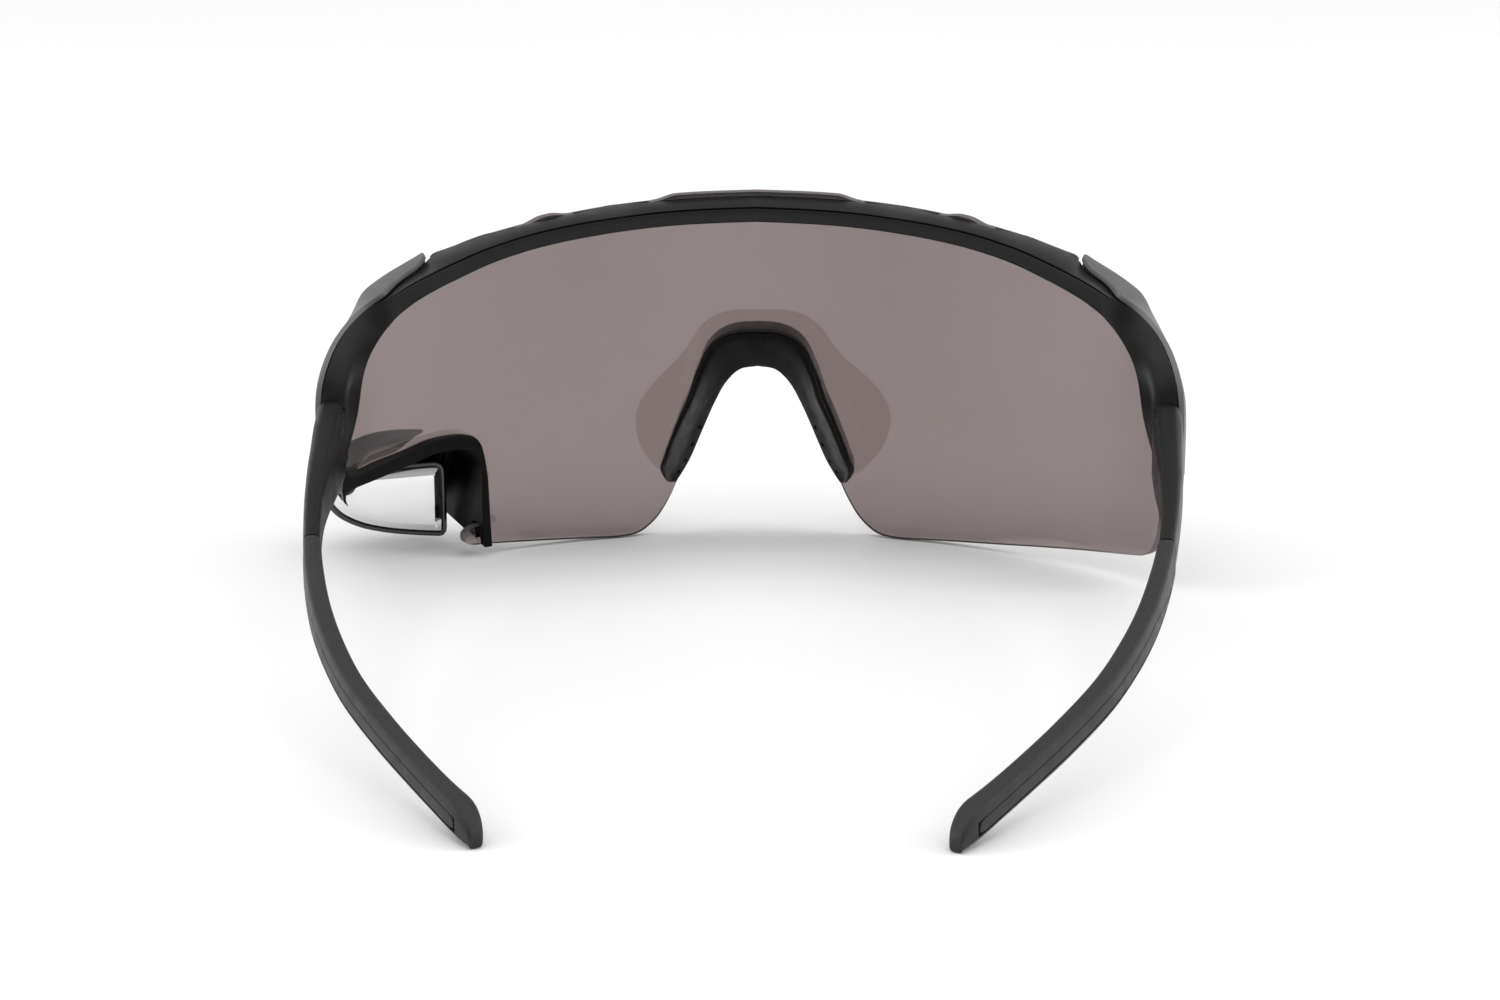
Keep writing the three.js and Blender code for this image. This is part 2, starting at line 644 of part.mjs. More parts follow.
// ---------------------------------------------------------------- hinge hardware
function screwGeometry() {
  const head = HINGE_LEVELS.lowerEar[0] + 0.25;
  const end = HINGE_LEVELS.upperEar[1] - 0.5;
  const profile = [
    [0, head],
    [SCREW.head, head],
    [SCREW.head, head + SCREW.headHeight],
    [SCREW.shaft, head + SCREW.headHeight],
    [SCREW.shaft, end],
    [0, end],
  ];
  const turned = new THREE.LatheGeometry(
    profile.map(([r, z]) => new THREE.Vector2(r, z)),
    18,
  );
  turned.rotateX(Math.PI / 2).translate(PIVOT.x, PIVOT.y, 0);
  const slot = block([PIVOT.x - 0.8, PIVOT.x + 0.8], [PIVOT.y - 0.15, PIVOT.y + 0.15], [head - 1, head + 0.3]);
  return cut(turned, slot);
}
function nutGeometry() {
  const low = HINGE_LEVELS.upperEar[0] + 1.0;
  const profile = [
    [NUT.bore, low],
    [NUT.radius, low],
    [NUT.radius, low + NUT.height],
    [NUT.bore, low + NUT.height],
    [NUT.bore, low],
  ];
  const turned = new THREE.LatheGeometry(
    profile.map(([r, z]) => new THREE.Vector2(r, z)),
    18,
  );
  return turned.rotateX(Math.PI / 2).translate(PIVOT.x, PIVOT.y, 0);
}

// ---------------------------------------------------------------- nose piece
// The arch from its top down one side: share, opening edge (x, z), depth to the outer edge,
// distance from the opening edge to the lens edge.
const noseHalf = through([
  [0, 0, 31.0, 7.8, 3.0],
  [1, 3.2, 30.4, 7.8, 2.9],
  [2, 5.7, 28.1, 6.0, 2.4],
  [3, 7.6, 24.8, 5.0, 1.8],
  [4, 9.3, 21.1, 4.9, 1.4],
  [5, 10.8, 17.6, 4.8, 1.1],
  [6, 12.3, 14.3, 4.6, 0.8],
  [7, 13.9, 11.6, 4.1, 0.6],
  [7.4, 14.6, 10.6, 3.4, 0.5],
  [7.7, 15.1, 10.0, 2.4, 0.4],
]);
const NOSE_STEPS = 34;
function noseStation(u) {
  const side = Math.sign(u) || 1;
  const k = Math.abs(u);
  const [x, z, wide, edge] = noseHalf(k);
  const [x1, z1] = noseHalf(k + 0.05);
  const [x0, z0] = noseHalf(Math.max(k - 0.05, 0));
  const along = new THREE.Vector2(x1 - x0, z1 - z0).normalize();
  if (k < 0.05) along.set(1, 0);
  const outX = -along.y;
  const outZ = along.x;
  const at = (q, o) => {
    const px = x + outX * q;
    const angle = THREE.MathUtils.radToDeg(Math.asin(px / (LENS.radius + o)));
    return onLens(side * angle, z + outZ * q, o);
  };
  return { at, wide, edge, k };
}
function noseRings(shape, reach = 7.7) {
  const rings = [];
  for (let i = 0; i <= NOSE_STEPS; i++) {
    const u = lerp(-reach, reach, i / NOSE_STEPS);
    rings.push(shape(noseStation(u)));
  }
  return rings;
}
const NOSE = { depth: 7.2, shell: 1.2, clipEnd: 4.4 };
function carrierGeometry() {
  const shell = loft(
    noseRings(({ at, wide, edge, k }) => {
      const fade = 1 - smooth(6.2, 7.7, k);
      const rear = -lerp(4.6, NOSE.depth, fade);
      const inner = Math.max(edge - 0.9, 0.15);
      const outer = Math.max(wide, inner + 1.9);
      return [
        at(inner, -GAP),
        at(outer - 0.35, -GAP),
        at(outer, -GAP - 0.4),
        at(outer, rear + 0.3),
        at(outer - 0.3, rear),
        at(outer - NOSE.shell, rear),
        at(outer - NOSE.shell, -1.6),
        at(inner, -1.6),
      ];
    }),
  );
  const clip = loft(
    noseRings(({ at, edge }) => {
      const inner = edge - 0.9;
      return [
        at(inner, -0.9),
        at(inner, 3.2),
        at(inner + 0.3, 3.5),
        at(edge + 1.6, 3.4),
        at(edge + 1.6, LENS.thickness + GAP),
        at(edge - 0.45, LENS.thickness + GAP),
        at(edge - 0.45, -0.9),
      ];
    }, NOSE.clipEnd),
  );
  return join(shell, clip);
}
// How far back the pad's wings reach, by share of the arch, and how they rise and spread as they do.
const wing = through([
  [0, 8.5],
  [2, 10],
  [3.5, 13],
  [5, 15],
  [6.2, 14.5],
  [7, 11.5],
  [7.7, 7],
]);
const WING = { rise: 0.3, spread: 0.3 };
function padGeometry() {
  const body = loft(
    noseRings(({ at, wide, edge, k }) => {
      const fade = 1 - smooth(6.2, 7.7, k);
      const rear = -lerp(5.2, NOSE.depth + 0.9, fade);
      const inner = Math.max(edge - 0.9, 0.15);
      const outer = Math.max(wide, inner + 1.9);
      const corner = outer - NOSE.shell - GAP;
      const deep = -wing(k)[0];
      const lift = V(0, 0, (rear - deep) * WING.rise);
      const spread = WING.spread * smooth(3, 5.5, k) * (1 - smooth(6.6, 7.6, k));
      const middle = Math.min(0.42 * outer - 0.15, corner - 0.45);
      return [
        at(0, -1.9),
        at(Math.max(corner, 0.3), -1.9),
        at(corner, rear + 1.2),
        at(corner + 0.15, rear + 0.9 - GAP),
        at(outer - 0.5, rear + 0.9 - GAP),
        at(outer - 0.7 + spread, deep + 0.1).add(lift),
        at(outer - 1.4 + spread, deep + 0.25).add(lift),
        at(middle, lerp(-1.9, rear, 0.62)),
        at(-0.2, -2.6),
      ];
    }),
  );
  // Four shallow breathing dimples in each wing.
  const dimples = [];
  for (const side of [-1, 1]) {
    for (const k of [4.3, 5.2, 6.1, 6.85]) {
      const { at, wide } = noseStation(side * k);
      const ball = new THREE.SphereGeometry(0.42, 8, 6);
      const p = at(wide * 0.16 - 0.1, lerp(-1.9, -NOSE.depth - 0.9, 0.3));
      dimples.push(ball.translate(p.x, p.y, p.z));
    }
  }
  return cut(body, ...dimples);
}

// ---------------------------------------------------------------- mirror pod
const podYaw = THREE.MathUtils.degToRad(MIRROR.yaw);
const POD_U = V(Math.cos(podYaw), Math.sin(podYaw), 0); // outwards along the mirror
const POD_N = V(-Math.sin(podYaw), Math.cos(podYaw), 0); // from the glass towards the eye
const podPoint = (u, w, n) =>
  V(MIRROR.x, MIRROR.y, MIRROR.z).addScaledVector(POD_U, u).addScaledVector(POD_N, n).add(V(0, 0, w));
// Glass outline as [u, w], seen from behind, shrunk by an inset.
const GLASS_OUTLINE = [
  [-9.7, 6.2],
  [-9.7, -6.4],
  [-4, -5.6],
  [1.5, -4.5],
  [5.6, -3.1],
  [8.9, -1.0],
  [10.7, 1.6],
  [10.9, 4.2],
  [9.6, 6.2],
];
function glassOutline(inset) {
  const centre = new THREE.Vector2(-1, 1);
  const [top, foot, ...rest] = GLASS_OUTLINE;
  const round = rest.map(([u, w]) => {
    const p = new THREE.Vector2(u, w);
    return p.addScaledVector(p.clone().sub(centre).normalize(), -inset);
  });
  round[round.length - 1].y = top[1] - inset;
  const shape = new THREE.Shape();
  shape.moveTo(top[0] + inset, top[1] - inset);
  shape.lineTo(foot[0] + inset, foot[1] + inset);
  shape.splineThru(round);
  return shape.getPoints(4);
}
function plate(levels) {
  return loft(levels.map(([inset, n]) => glassOutline(inset).map((p) => podPoint(p.x, p.y, n))));
}
const glassGeometry = () =>
  plate([
    [0.3, -MIRROR.glass],
    [0.3, -0.55],
    [1.5, 0],
  ]);
// The tray behind the glass has a lip round it. A socket behind the tray holds the ball.
const BALL = { u: -0.6, w: 2.0, radius: 1.5, depth: -5.6, fit: 0.12, neck: 0.8 };
function podBar(radius, near, far) {
  const bar = new THREE.CylinderGeometry(radius, radius, Math.abs(near - far), 18);
  const centre = podPoint(BALL.u, BALL.w, (near + far) / 2);
  return bar.applyMatrix4(new THREE.Matrix4().makeRotationZ(podYaw).setPosition(centre));
}
function podBall(radius) {
  const centre = podPoint(BALL.u, BALL.w, BALL.depth);
  return new THREE.SphereGeometry(radius, 16, 10).translate(centre.x, centre.y, centre.z);
}
const trayGeometry = () =>
  plate([
    [-0.8, -2.8],
    [-0.8, -0.9],
    [-0.5, -0.6],
    [0, -0.6],
    [0, -MIRROR.glass - GAP],
  ]);
const socketGeometry = () => cut(podBar(2.3, -3.5, BALL.depth - 0.8), podBall(BALL.radius + BALL.fit));
// Ball, neck, the collar that rests inside the hood, and the riveted end outside it.
const WALL_FRONT = { inner: -9.2, outer: -10.4 };
function ballStudGeometry() {
  const neck = podBar(BALL.neck, BALL.depth - 1, WALL_FRONT.outer - GAP - 0.4);
  const collar = podBar(1.6, WALL_FRONT.inner + GAP + 0.6, WALL_FRONT.inner + GAP);
  const rivet = podBar(1.5, WALL_FRONT.outer - GAP, WALL_FRONT.outer - GAP - 0.6);
  return join(podBall(BALL.radius), neck, collar, rivet);
}
// The hood's outline at the lens as [angle, height], and at its front end as [u, w].
const HOOD_REAR = [
  [33.4, 1.9],
  [33.4, 6],
  [33.4, 10.5],
  [33.5, 15.4],
  [34.2, 19.4],
  [36.0, 21.2],
  [39.6, 21.5],
  [44, 20.4],
  [49, 19.5],
  [53.4, 18.8],
  [54.3, 17.4],
  [54.2, 15.5],
];
const HOOD_FRONT = [
  [-11.7, -3.2],
  [-12.3, 0],
  [-13.2, 3],
  [-13.9, 6.8],
  [-13.6, 10.2],
  [-10.8, 12.2],
  [-5.2, 12.6],
  [1.2, 12.0],
  [6.6, 10.8],
  [10.4, 9.9],
  [11.6, 8.7],
  [12.0, 7.8],
];
// One arch of the hood: its share of the way forward, its inset, how far it closes towards the
// middle, how far ahead it stands, and how far its feet are drawn down.
function hoodArch({ share, inset = 0, close = 0, ahead = 0, drop = 0 }) {
  const middle = onLens(43, 5).lerp(podPoint(0, 0, HOOD.front), share);
  const ring = HOOD_REAR.map(([angle, z], i) => {
    const p = onLens(angle, z, HOOD.rear).lerp(podPoint(...HOOD_FRONT[i], HOOD.front), share);
    const inward = middle.clone().sub(p).setZ(0).normalize();
    const top = smooth(12, 20, z);
    p.addScaledVector(inward, inset * (1 - 0.7 * top)).setZ(p.z - inset * top);
    const heart = podPoint(-0.4, 2.5, 0);
    p.lerp(V(heart.x, heart.y, heart.z).addScaledVector(POD_N, p.clone().sub(heart).dot(POD_N)), close);
    return p.addScaledVector(POD_N, -ahead);
  });
  ring[0].z -= drop;
  ring[ring.length - 1].z -= drop;
  return ring;
}
const HOOD = { rear: -1.9, front: -6, wall: 1.3 };
function hoodGeometry() {
  const shares = [0, 0.25, 0.5, 0.75, 1];
  const outer = shares.map((share) => hoodArch({ share }));
  outer.push(hoodArch({ share: 1, close: 0.12, ahead: 2.6 }), hoodArch({ share: 1, close: 0.38, ahead: 4.4 }));
  const hollow = { inset: HOOD.wall, drop: 30 };
  const inner = shares.map((share) => hoodArch({ share: Math.max(share, 0.02), ...hollow }));
  inner.unshift(hoodArch({ share: 0, ahead: -6, ...hollow }));
  inner.push(
    hoodArch({ share: 1, close: 0.12, ahead: 2.2, ...hollow }),
    hoodArch({ share: 1, close: 0.38, ahead: 3.2, ...hollow }),
  );
  const tongue = [
    [30, -4],
    [36.6, -4],
    [36.6, 3.4],
    [36.1, 5.0],
    [35.2, 5.6],
    [33.9, 5.9],
    [30, 5.9],
  ];
  const corner = [
    [50.2, 26],
    [50.2, 17.2],
    [50.9, 16.1],
    [52.2, 15.8],
    [54.0, 16.2],
    [54.0, 26],
  ];
  const slots = [tongue, corner].map((edge) => throughLens(edge, -GAP, LENS.thickness + GAP));
  const bore = podBar(BALL.neck + 0.15, -8, -12);
  return cut(loft(outer), loft(inner), ...slots, bore);
}

// ---------------------------------------------------------------- assembly
const root = new THREE.Group();
const glasses = new THREE.Group();
glasses.position.set(-ORIGIN.x, -ORIGIN.y, -ORIGIN.z);
root.add(glasses);

function add(name, geometry, material) {
  geometry.deleteAttribute("normal");
  geometry.deleteAttribute("uv");
  const mesh = new THREE.Mesh(geometry, material);
  mesh.name = name;
  glasses.add(mesh);
}
function addPair(name, geometry, material) {
  add(name + "_left", geometry, material);
  add(name + "_right", mirrored(mergeVertices(geometry, 1e-4)), material);
}

add("lens_shield", lensGeometry(), SMOKE);
add("frame_front", frameGeometry(), SATIN_BLACK);
add("brow_rail", railGeometry(), SATIN_BLACK);
addPair("shoulder_cover", coverGeometry(), SATIN_BLACK);
addPair("temple_arm", armGeometry(), SATIN_BLACK);
addPair("temple_sleeve", sleeveGeometry(), RUBBER);
addPair("temple_inlay", inlayGeometry(), RUBBER);
addPair("hinge_screw", screwGeometry(), STEEL);
addPair("hinge_nut", nutGeometry(), STEEL);
add("nose_carrier", carrierGeometry(), GLOSS_BLACK);
add("nose_pad", padGeometry(), RUBBER);
add("mirror_hood", hoodGeometry(), SATIN_BLACK);
add("mirror_tray", trayGeometry(), SATIN_BLACK);
add("mirror_glass", glassGeometry(), SILVERED);
add("mirror_socket", socketGeometry(), SATIN_BLACK);
add("mirror_ball_stud", ballStudGeometry(), STEEL);

export default root;
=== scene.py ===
"""Wraparound sport sunglasses with a rear-view mirror pod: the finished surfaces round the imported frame.

Shapes are worked out in millimetres in the design's own frame: +Z up, +X to the wearer's left, +Y back
towards the ears, Y = 0 at the front faces of the temples. place() turns them into the scene's metres.
"""

import json
import math

import bmesh
import bpy
from mathutils import Matrix, Vector
from mathutils.geometry import delaunay_2d_cdt


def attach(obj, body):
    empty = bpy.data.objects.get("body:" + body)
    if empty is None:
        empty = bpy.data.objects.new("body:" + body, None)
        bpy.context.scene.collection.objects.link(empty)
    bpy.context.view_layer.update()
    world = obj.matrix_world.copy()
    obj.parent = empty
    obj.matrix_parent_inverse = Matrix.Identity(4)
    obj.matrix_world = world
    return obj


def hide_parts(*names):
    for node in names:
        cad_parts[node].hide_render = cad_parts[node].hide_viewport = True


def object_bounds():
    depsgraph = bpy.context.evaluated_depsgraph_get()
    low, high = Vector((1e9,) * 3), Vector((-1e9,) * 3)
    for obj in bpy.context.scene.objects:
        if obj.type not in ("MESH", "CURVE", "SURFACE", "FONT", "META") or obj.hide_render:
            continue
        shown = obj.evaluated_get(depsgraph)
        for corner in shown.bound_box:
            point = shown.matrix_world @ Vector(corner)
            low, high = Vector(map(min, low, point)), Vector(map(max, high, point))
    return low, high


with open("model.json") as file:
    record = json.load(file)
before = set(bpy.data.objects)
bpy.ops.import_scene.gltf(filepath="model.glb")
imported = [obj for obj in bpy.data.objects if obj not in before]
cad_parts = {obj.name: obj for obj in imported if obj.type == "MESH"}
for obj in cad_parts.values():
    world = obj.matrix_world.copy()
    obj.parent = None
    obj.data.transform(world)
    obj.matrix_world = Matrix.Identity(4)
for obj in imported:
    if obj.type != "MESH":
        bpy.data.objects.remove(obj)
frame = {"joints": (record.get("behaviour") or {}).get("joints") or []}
cad_low, cad_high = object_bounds()

# ---------------------------------------------------------------- driving dimensions, mm
GAP = 0.3
LENS_RADIUS = 88.0
LENS_CROWN = 250.0
LENS_MID = 28.0
LENS_LEAN = math.tan(math.radians(2))
LENS_AXIS_Y = 45.7
LENS_THICK = 2.0
LENS_END = 53.2
ARC = LENS_RADIUS * math.pi / 180
RIM_DEPTH = 5.4
GROOVE_WIDTH, GROOVE_DEPTH = 0.8, 0.95
TAB = 0.8
VENT_RISE = 0.8
RAIL_INNER, RAIL_OUTER, RAIL_DROP, RAIL_RISE, RAIL_END = 2.35, 4.1, 1.9, -0.45, 38.6
COVER_INNER, COVER_OUTER, COVER_THICK = 2.35, 3.9, 0.85
PIVOT_X, PIVOT_Y, PIVOT_Z = 69.95, 2.05, 29.15
EAR_RADIUS, BORE = 1.75, 0.9
LOWER_EAR = (24.6, 27.0)
UPPER_EAR = (31.3, 33.9)
SLEEVE_START = 41.0
TIP_START, TIP_END, TIP_NARROW = 110.3, 115.1, 0.3

# The design's origin follows from the left hinge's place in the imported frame.
hinge = next(j for j in frame["joints"] if j["name"] == "temple_left_fold")
ORIGIN = Vector((PIVOT_X, PIVOT_Y, PIVOT_Z)) - Vector(hinge["pos_m"]) * 1000


def place(p):
    return (Vector(p) - ORIGIN) * 0.001


# ---------------------------------------------------------------- maths
def lerp(a, b, t):
    return a + (b - a) * t


def smooth(a, b, x):
    t = min(max((x - a) / (b - a), 0.0), 1.0)
    return t * t * (3 - 2 * t)


def through(knots):
    """A smooth function through knots (x, value, ...), held constant past both ends."""
    last = len(knots) - 1

    def slope(i, c):
        a, b = knots[max(i - 1, 0)], knots[min(i + 1, last)]
        return (b[c] - a[c]) / (b[0] - a[0])

    def at(x):
        x = min(max(x, knots[0][0]), knots[last][0])
        i = 0
        while i < last - 1 and x > knots[i + 1][0]:
            i += 1
        span = knots[i + 1][0] - knots[i][0]
        t = (x - knots[i][0]) / span
        t2, t3 = t * t, t * t * t
        values = []
        for c in range(1, len(knots[0])):
            m0, m1 = slope(i, c) * span, slope(i + 1, c) * span
            value = (2 * t3 - 3 * t2 + 1) * knots[i][c] + (t3 - 2 * t2 + t) * m0
            values.append(value + (3 * t2 - 2 * t3) * knots[i + 1][c] + (t3 - t2) * m1)
        return values

    return at


def smooth_line(knots, count):
    """Evenly spaced points on a centripetal Catmull-Rom curve through 2-D knots."""
    points = [Vector(k) for k in knots]
    points.insert(0, points[0] * 2 - points[1])
    points.append(points[-1] * 2 - points[-2])
    dense = []
    for i in range(1, len(points) - 2):
        p = points[i - 1 : i + 3]
        t = [0.0]
        for a, b in zip(p, p[1:]):
            t.append(t[-1] + max((b - a).length, 1e-6) ** 0.5)
        for k in range(24):
            u = lerp(t[1], t[2], k / 24)
            a1 = p[0].lerp(p[1], (u - t[0]) / (t[1] - t[0]))
            a2 = p[1].lerp(p[2], (u - t[1]) / (t[2] - t[1]))
            a3 = p[2].lerp(p[3], (u - t[2]) / (t[3] - t[2]))
            b1 = a1.lerp(a2, (u - t[0]) / (t[2] - t[0]))
            b2 = a2.lerp(a3, (u - t[1]) / (t[3] - t[1]))
            dense.append(b1.lerp(b2, (u - t[1]) / (t[2] - t[1])))
    dense.append(points[-2])
    lengths = [0.0]
    for a, b in zip(dense, dense[1:]):
        lengths.append(lengths[-1] + (b - a).length)
    spaced, i = [], 0
    for k in range(count + 1):
        goal = lengths[-1] * k / count
        while i < len(dense) - 2 and lengths[i + 1] < goal:
            i += 1
        share = (goal - lengths[i]) / max(lengths[i + 1] - lengths[i], 1e-9)
        spaced.append(dense[i].lerp(dense[i + 1], min(max(share, 0), 1)))
    return spaced


def on_lens(angle, z, out=0.0):
    """A point of the lens's rear face at an angle in degrees and a height, moved out along its normal."""
    rho = LENS_RADIUS - (z - LENS_MID) ** 2 / (2 * LENS_CROWN) + out
    a = math.radians(angle)
    return Vector((rho * math.sin(a), LENS_AXIS_Y - rho * math.cos(a) - LENS_LEAN * (z - LENS_MID), z))


def lens_place(p):
    """The angle and height of a point near the lens."""
    return math.degrees(math.atan2(p.x, LENS_AXIS_Y - p.y - LENS_LEAN * (p.z - LENS_MID))), p.z


# ---------------------------------------------------------------- mesh helpers
def rounded(ring, radius, steps=3):
    """The ring with each corner turned into a short round; radius is one number or one per corner."""
    count = len(ring)
    made = []
    for i, corner in enumerate(ring):
        r = radius[i] if isinstance(radius, (list, tuple)) else radius
        before, after = ring[i - 1] - corner, ring[(i + 1) % count] - corner
        a = corner + before * min(r / max(before.length, 1e-6), 0.42)
        b = corner + after * min(r / max(after.length, 1e-6), 0.42)
        for k in range(steps + 1):
            t = k / steps
            made.append(a * (1 - t) ** 2 + corner * 2 * t * (1 - t) + b * t * t)
    return made


def make_object(name, points, faces, sharp=38.0):
    mesh = bpy.data.meshes.new(name)
    mesh.from_pydata([place(p) for p in points], [], faces)
    obj = bpy.data.objects.new(name, mesh)
    bpy.context.scene.collection.objects.link(obj)
    tidy_mesh(obj, sharp)
    return obj


def tidy_mesh(obj, sharp=38.0):
    work = bmesh.new()
    work.from_mesh(obj.data)
    bmesh.ops.remove_doubles(work, verts=work.verts, dist=2e-7)
    bmesh.ops.recalc_face_normals(work, faces=work.faces)
    for face in work.faces:
        face.smooth = True
    limit = math.radians(sharp)
    for edge in work.edges:
        edge.smooth = not (len(edge.link_faces) == 2 and edge.calc_face_angle(0) > limit)
    work.to_mesh(obj.data)
    work.free()


def loft(rings, first=0):
    """Points and faces of a closed body through rings with equal point counts."""
    n = len(rings[0])
    points = [p for ring in rings for p in ring]
    faces = []
    for r in range(len(rings) - 1):
        for i in range(n):
            a, b = r * n + i, r * n + (i + 1) % n
            faces.append([first + a, first + b, first + b + n, first + a + n])
    faces.append([first + i for i in reversed(range(n))])
    faces.append([first + (len(rings) - 1) * n + i for i in range(n)])
    return points, faces


def with_round_ends(rings, amount, steps=3):
    """Adds shrunken rings at both ends, so that the ends of a bar are softly rounded."""

    def cap(ring, inner):
        middle = sum(ring, Vector()) / len(ring)
        along = ring_middle(ring) - ring_middle(inner)
        along.normalize()
        size = min((p - middle).length for p in ring)
        made = []
        for k in range(1, steps + 1):
            a = k / steps * math.pi / 2
            shrink = 1 - (1 - math.cos(a)) * min(amount / max(size, 1e-6), 0.8)
            made.append([middle + (p - middle) * shrink + along * amount * (math.sin(a) - 1) for p in ring])
        moved = [p - along * amount for p in ring]
        return [moved] + made

    head, tail = cap(rings[0], rings[1]), cap(rings[-1], rings[-2])
    return list(reversed(head)) + rings[1:-1] + tail


def ring_middle(ring):
    return sum(ring, Vector()) / len(ring)


def mirrored(points, faces):
    return [Vector((-p.x, p.y, p.z)) for p in points], [list(reversed(f)) for f in faces]


def on_side(side, points, faces):
    """A body made for the wearer's left, mirrored if it is wanted on the right."""
    return mirrored(points, faces) if side == "right" else (points, faces)


def joined(*bodies):
    points, faces = [], []
    for more_points, more_faces in bodies:
        start = len(points)
        points += more_points
        faces += [[i + start for i in f] for f in more_faces]
    return points, faces


def turned(profile, centre, axis=Vector((0, 0, 1)), sides=48):
    """A lathe body: profile of (radius, height) along an axis through centre."""
    axis = axis.normalized()
    across = axis.cross(Vector((0, 1, 0.2))).normalized()
    other = axis.cross(across)
    rings = []
    for radius, height in profile:
        ring = []
        for k in range(sides):
            a = 2 * math.pi * k / sides
            spoke = across * math.cos(a) + other * math.sin(a)
            ring.append(centre + axis * height + spoke * max(radius, 1e-4))
        rings.append(ring)
    return loft(rings)


def apply_modifiers(obj):
    """Keeps what a piece's modifiers make of it as plain mesh."""
    bpy.context.view_layer.update()
    seen = obj.evaluated_get(bpy.context.evaluated_depsgraph_get())
    mesh = bpy.data.meshes.new_from_object(seen)
    obj.modifiers.clear()
    old = obj.data
    obj.data = mesh
    bpy.data.meshes.remove(old)


def cut_with(obj, *tools):
    """Subtracts closed bodies from a piece."""
    for points, faces in tools:
        tool = make_object("cutter", points, faces)
        step = obj.modifiers.new("cut", "BOOLEAN")
        step.operation = "DIFFERENCE"
        step.solver = "EXACT"
        step.object = tool
        apply_modifiers(obj)
        bpy.data.objects.remove(tool)


def block(x, y, z):
    """A box between two values on each axis."""
    base = ((x[0], y[0]), (x[1], y[0]), (x[1], y[1]), (x[0], y[1]))
    return loft([[Vector((a, b, c)) for a, b in base] for c in z])


def plate_from_outline(outline, levels, to_space, grid):
    """A plate whose flat outline is carried through levels (inset, depth), with a grid of points inside."""
    count = len(outline)
    normals = []
    area = sum(outline[i - 1].cross(outline[i]) for i in range(count))
    for i in range(count):
        along = (outline[(i + 1) % count] - outline[i - 1]).normalized()
        normals.append(Vector((-along.y, along.x)) * (1 if area > 0 else -1))
    loops = [[outline[i] + normals[i] * inset for i in range(count)] for inset, _ in levels]
    points, faces = [], []
    for loop, (_, depth) in zip(loops, levels):
        points += [to_space(p.x, p.y, depth) for p in loop]
    for r in range(len(levels) - 1):
        for i in range(count):
            a, b = r * count + i, r * count + (i + 1) % count
            faces.append([a, b, b + count, a + count])
    low = Vector((min(p.x for p in outline), min(p.y for p in outline)))
    high = Vector((max(p.x for p in outline), max(p.y for p in outline)))
    for level in (0, len(levels) - 1):
        loop, depth = loops[level], levels[level][1]
        inner = []
        for i in range(1, int((high.x - low.x) / grid)):
            for k in range(1, int((high.y - low.y) / grid)):
                p = Vector((low.x + i * grid, low.y + k * grid))
                if inside(p, loop) and all((p - q).length > grid * 0.45 for q in loop[::2]):
                    inner.append(p)
        made, _, triangles, *_ = delaunay_2d_cdt(loop + inner, [], [list(range(count))], 1, 1e-6)
        start = level * count
        lookup = list(range(start, start + count))
        for p in made[count:]:
            lookup.append(len(points))
            points.append(to_space(p.x, p.y, depth))
        faces += [[lookup[i] for i in t] for t in triangles]
    return points, faces


def inside(p, loop):
    hit = False
    for a, b in zip(loop, loop[1:] + loop[:1]):
        if (a.y > p.y) != (b.y > p.y) and p.x < (b.x - a.x) * (p.y - a.y) / (b.y - a.y) + a.x:
            hit = not hit
    return hit


# ---------------------------------------------------------------- outlines shared by lens and brow
brow_edge = through(
    [
        (0, 61.6), (10, 61.15), (20, 59.9), (31, 57.4), (36, 55.85), (39.3, 54.8), (41.2, 53.3),
        (44, 51.45), (47, 48.7), (49.3, 44.8), (51, 41), (52.2, 37.2), (53, 33), (53.2, 27),
    ]
)


def tab(angle, margin=0.0):
    """1 where the brow's tabs reach over the lens edge, 0 along the vents."""
    a = abs(angle)
    middle = 1 - smooth(0.9 + margin, 3.6 + margin, abs(a - 17))
    return max(middle, smooth(29.4 - margin, 32 - margin, a))


def lens_top(angle):
    a = abs(angle)
    notch = min(1.0, 3 * tab(angle, 1.3))
    below = notch * (1 - smooth(40.5, 42.5, a)) * (TAB + GAP + 0.25)
    return brow_edge(a)[0] - 0.05 - below + VENT_RISE * (1 - tab(angle, 4))


NOSE_SIDE = [
    (0, 34.2), (1.5, 34.0), (3.0, 33.1), (4.3, 31.0), (5.4, 27.8), (6.3, 24.3), (7.0, 20.8),
    (7.6, 17.3), (8.3, 14), (9.5, 9.9), (10.7, 6.2), (12.2, 2.9), (14.2, 0.6), (16.3, 0.02),
]
PLAIN_SIDE = [
    (20, 0.2), (24.7, 0.65), (29.9, 1.3), (36.7, 2.5), (44, 4.0), (48.7, 5.1), (50.9, 5.9),
    (52.2, 7.6), (52.8, 10.5), (53.1, 14), (LENS_END, 19),
]
MIRROR_SIDE = [
    (20, 0.2), (24.7, 0.65), (29.9, 1.3), (33.5, 1.85), (35.2, 2.1), (36.1, 2.8), (36.1, 4.2), (35.1, 5.2),
    (33.7, 5.5), (33.0, 6.6), (32.9, 10.5), (33.0, 15.6), (33.7, 20.0), (35.8, 21.9), (39.6, 22.2),
    (44, 21.1), (48.6, 20.3), (50.3, 19.6), (50.7, 17.6), (51.4, 16.4), (52.6, 16.2), (LENS_END, 17.4),
]


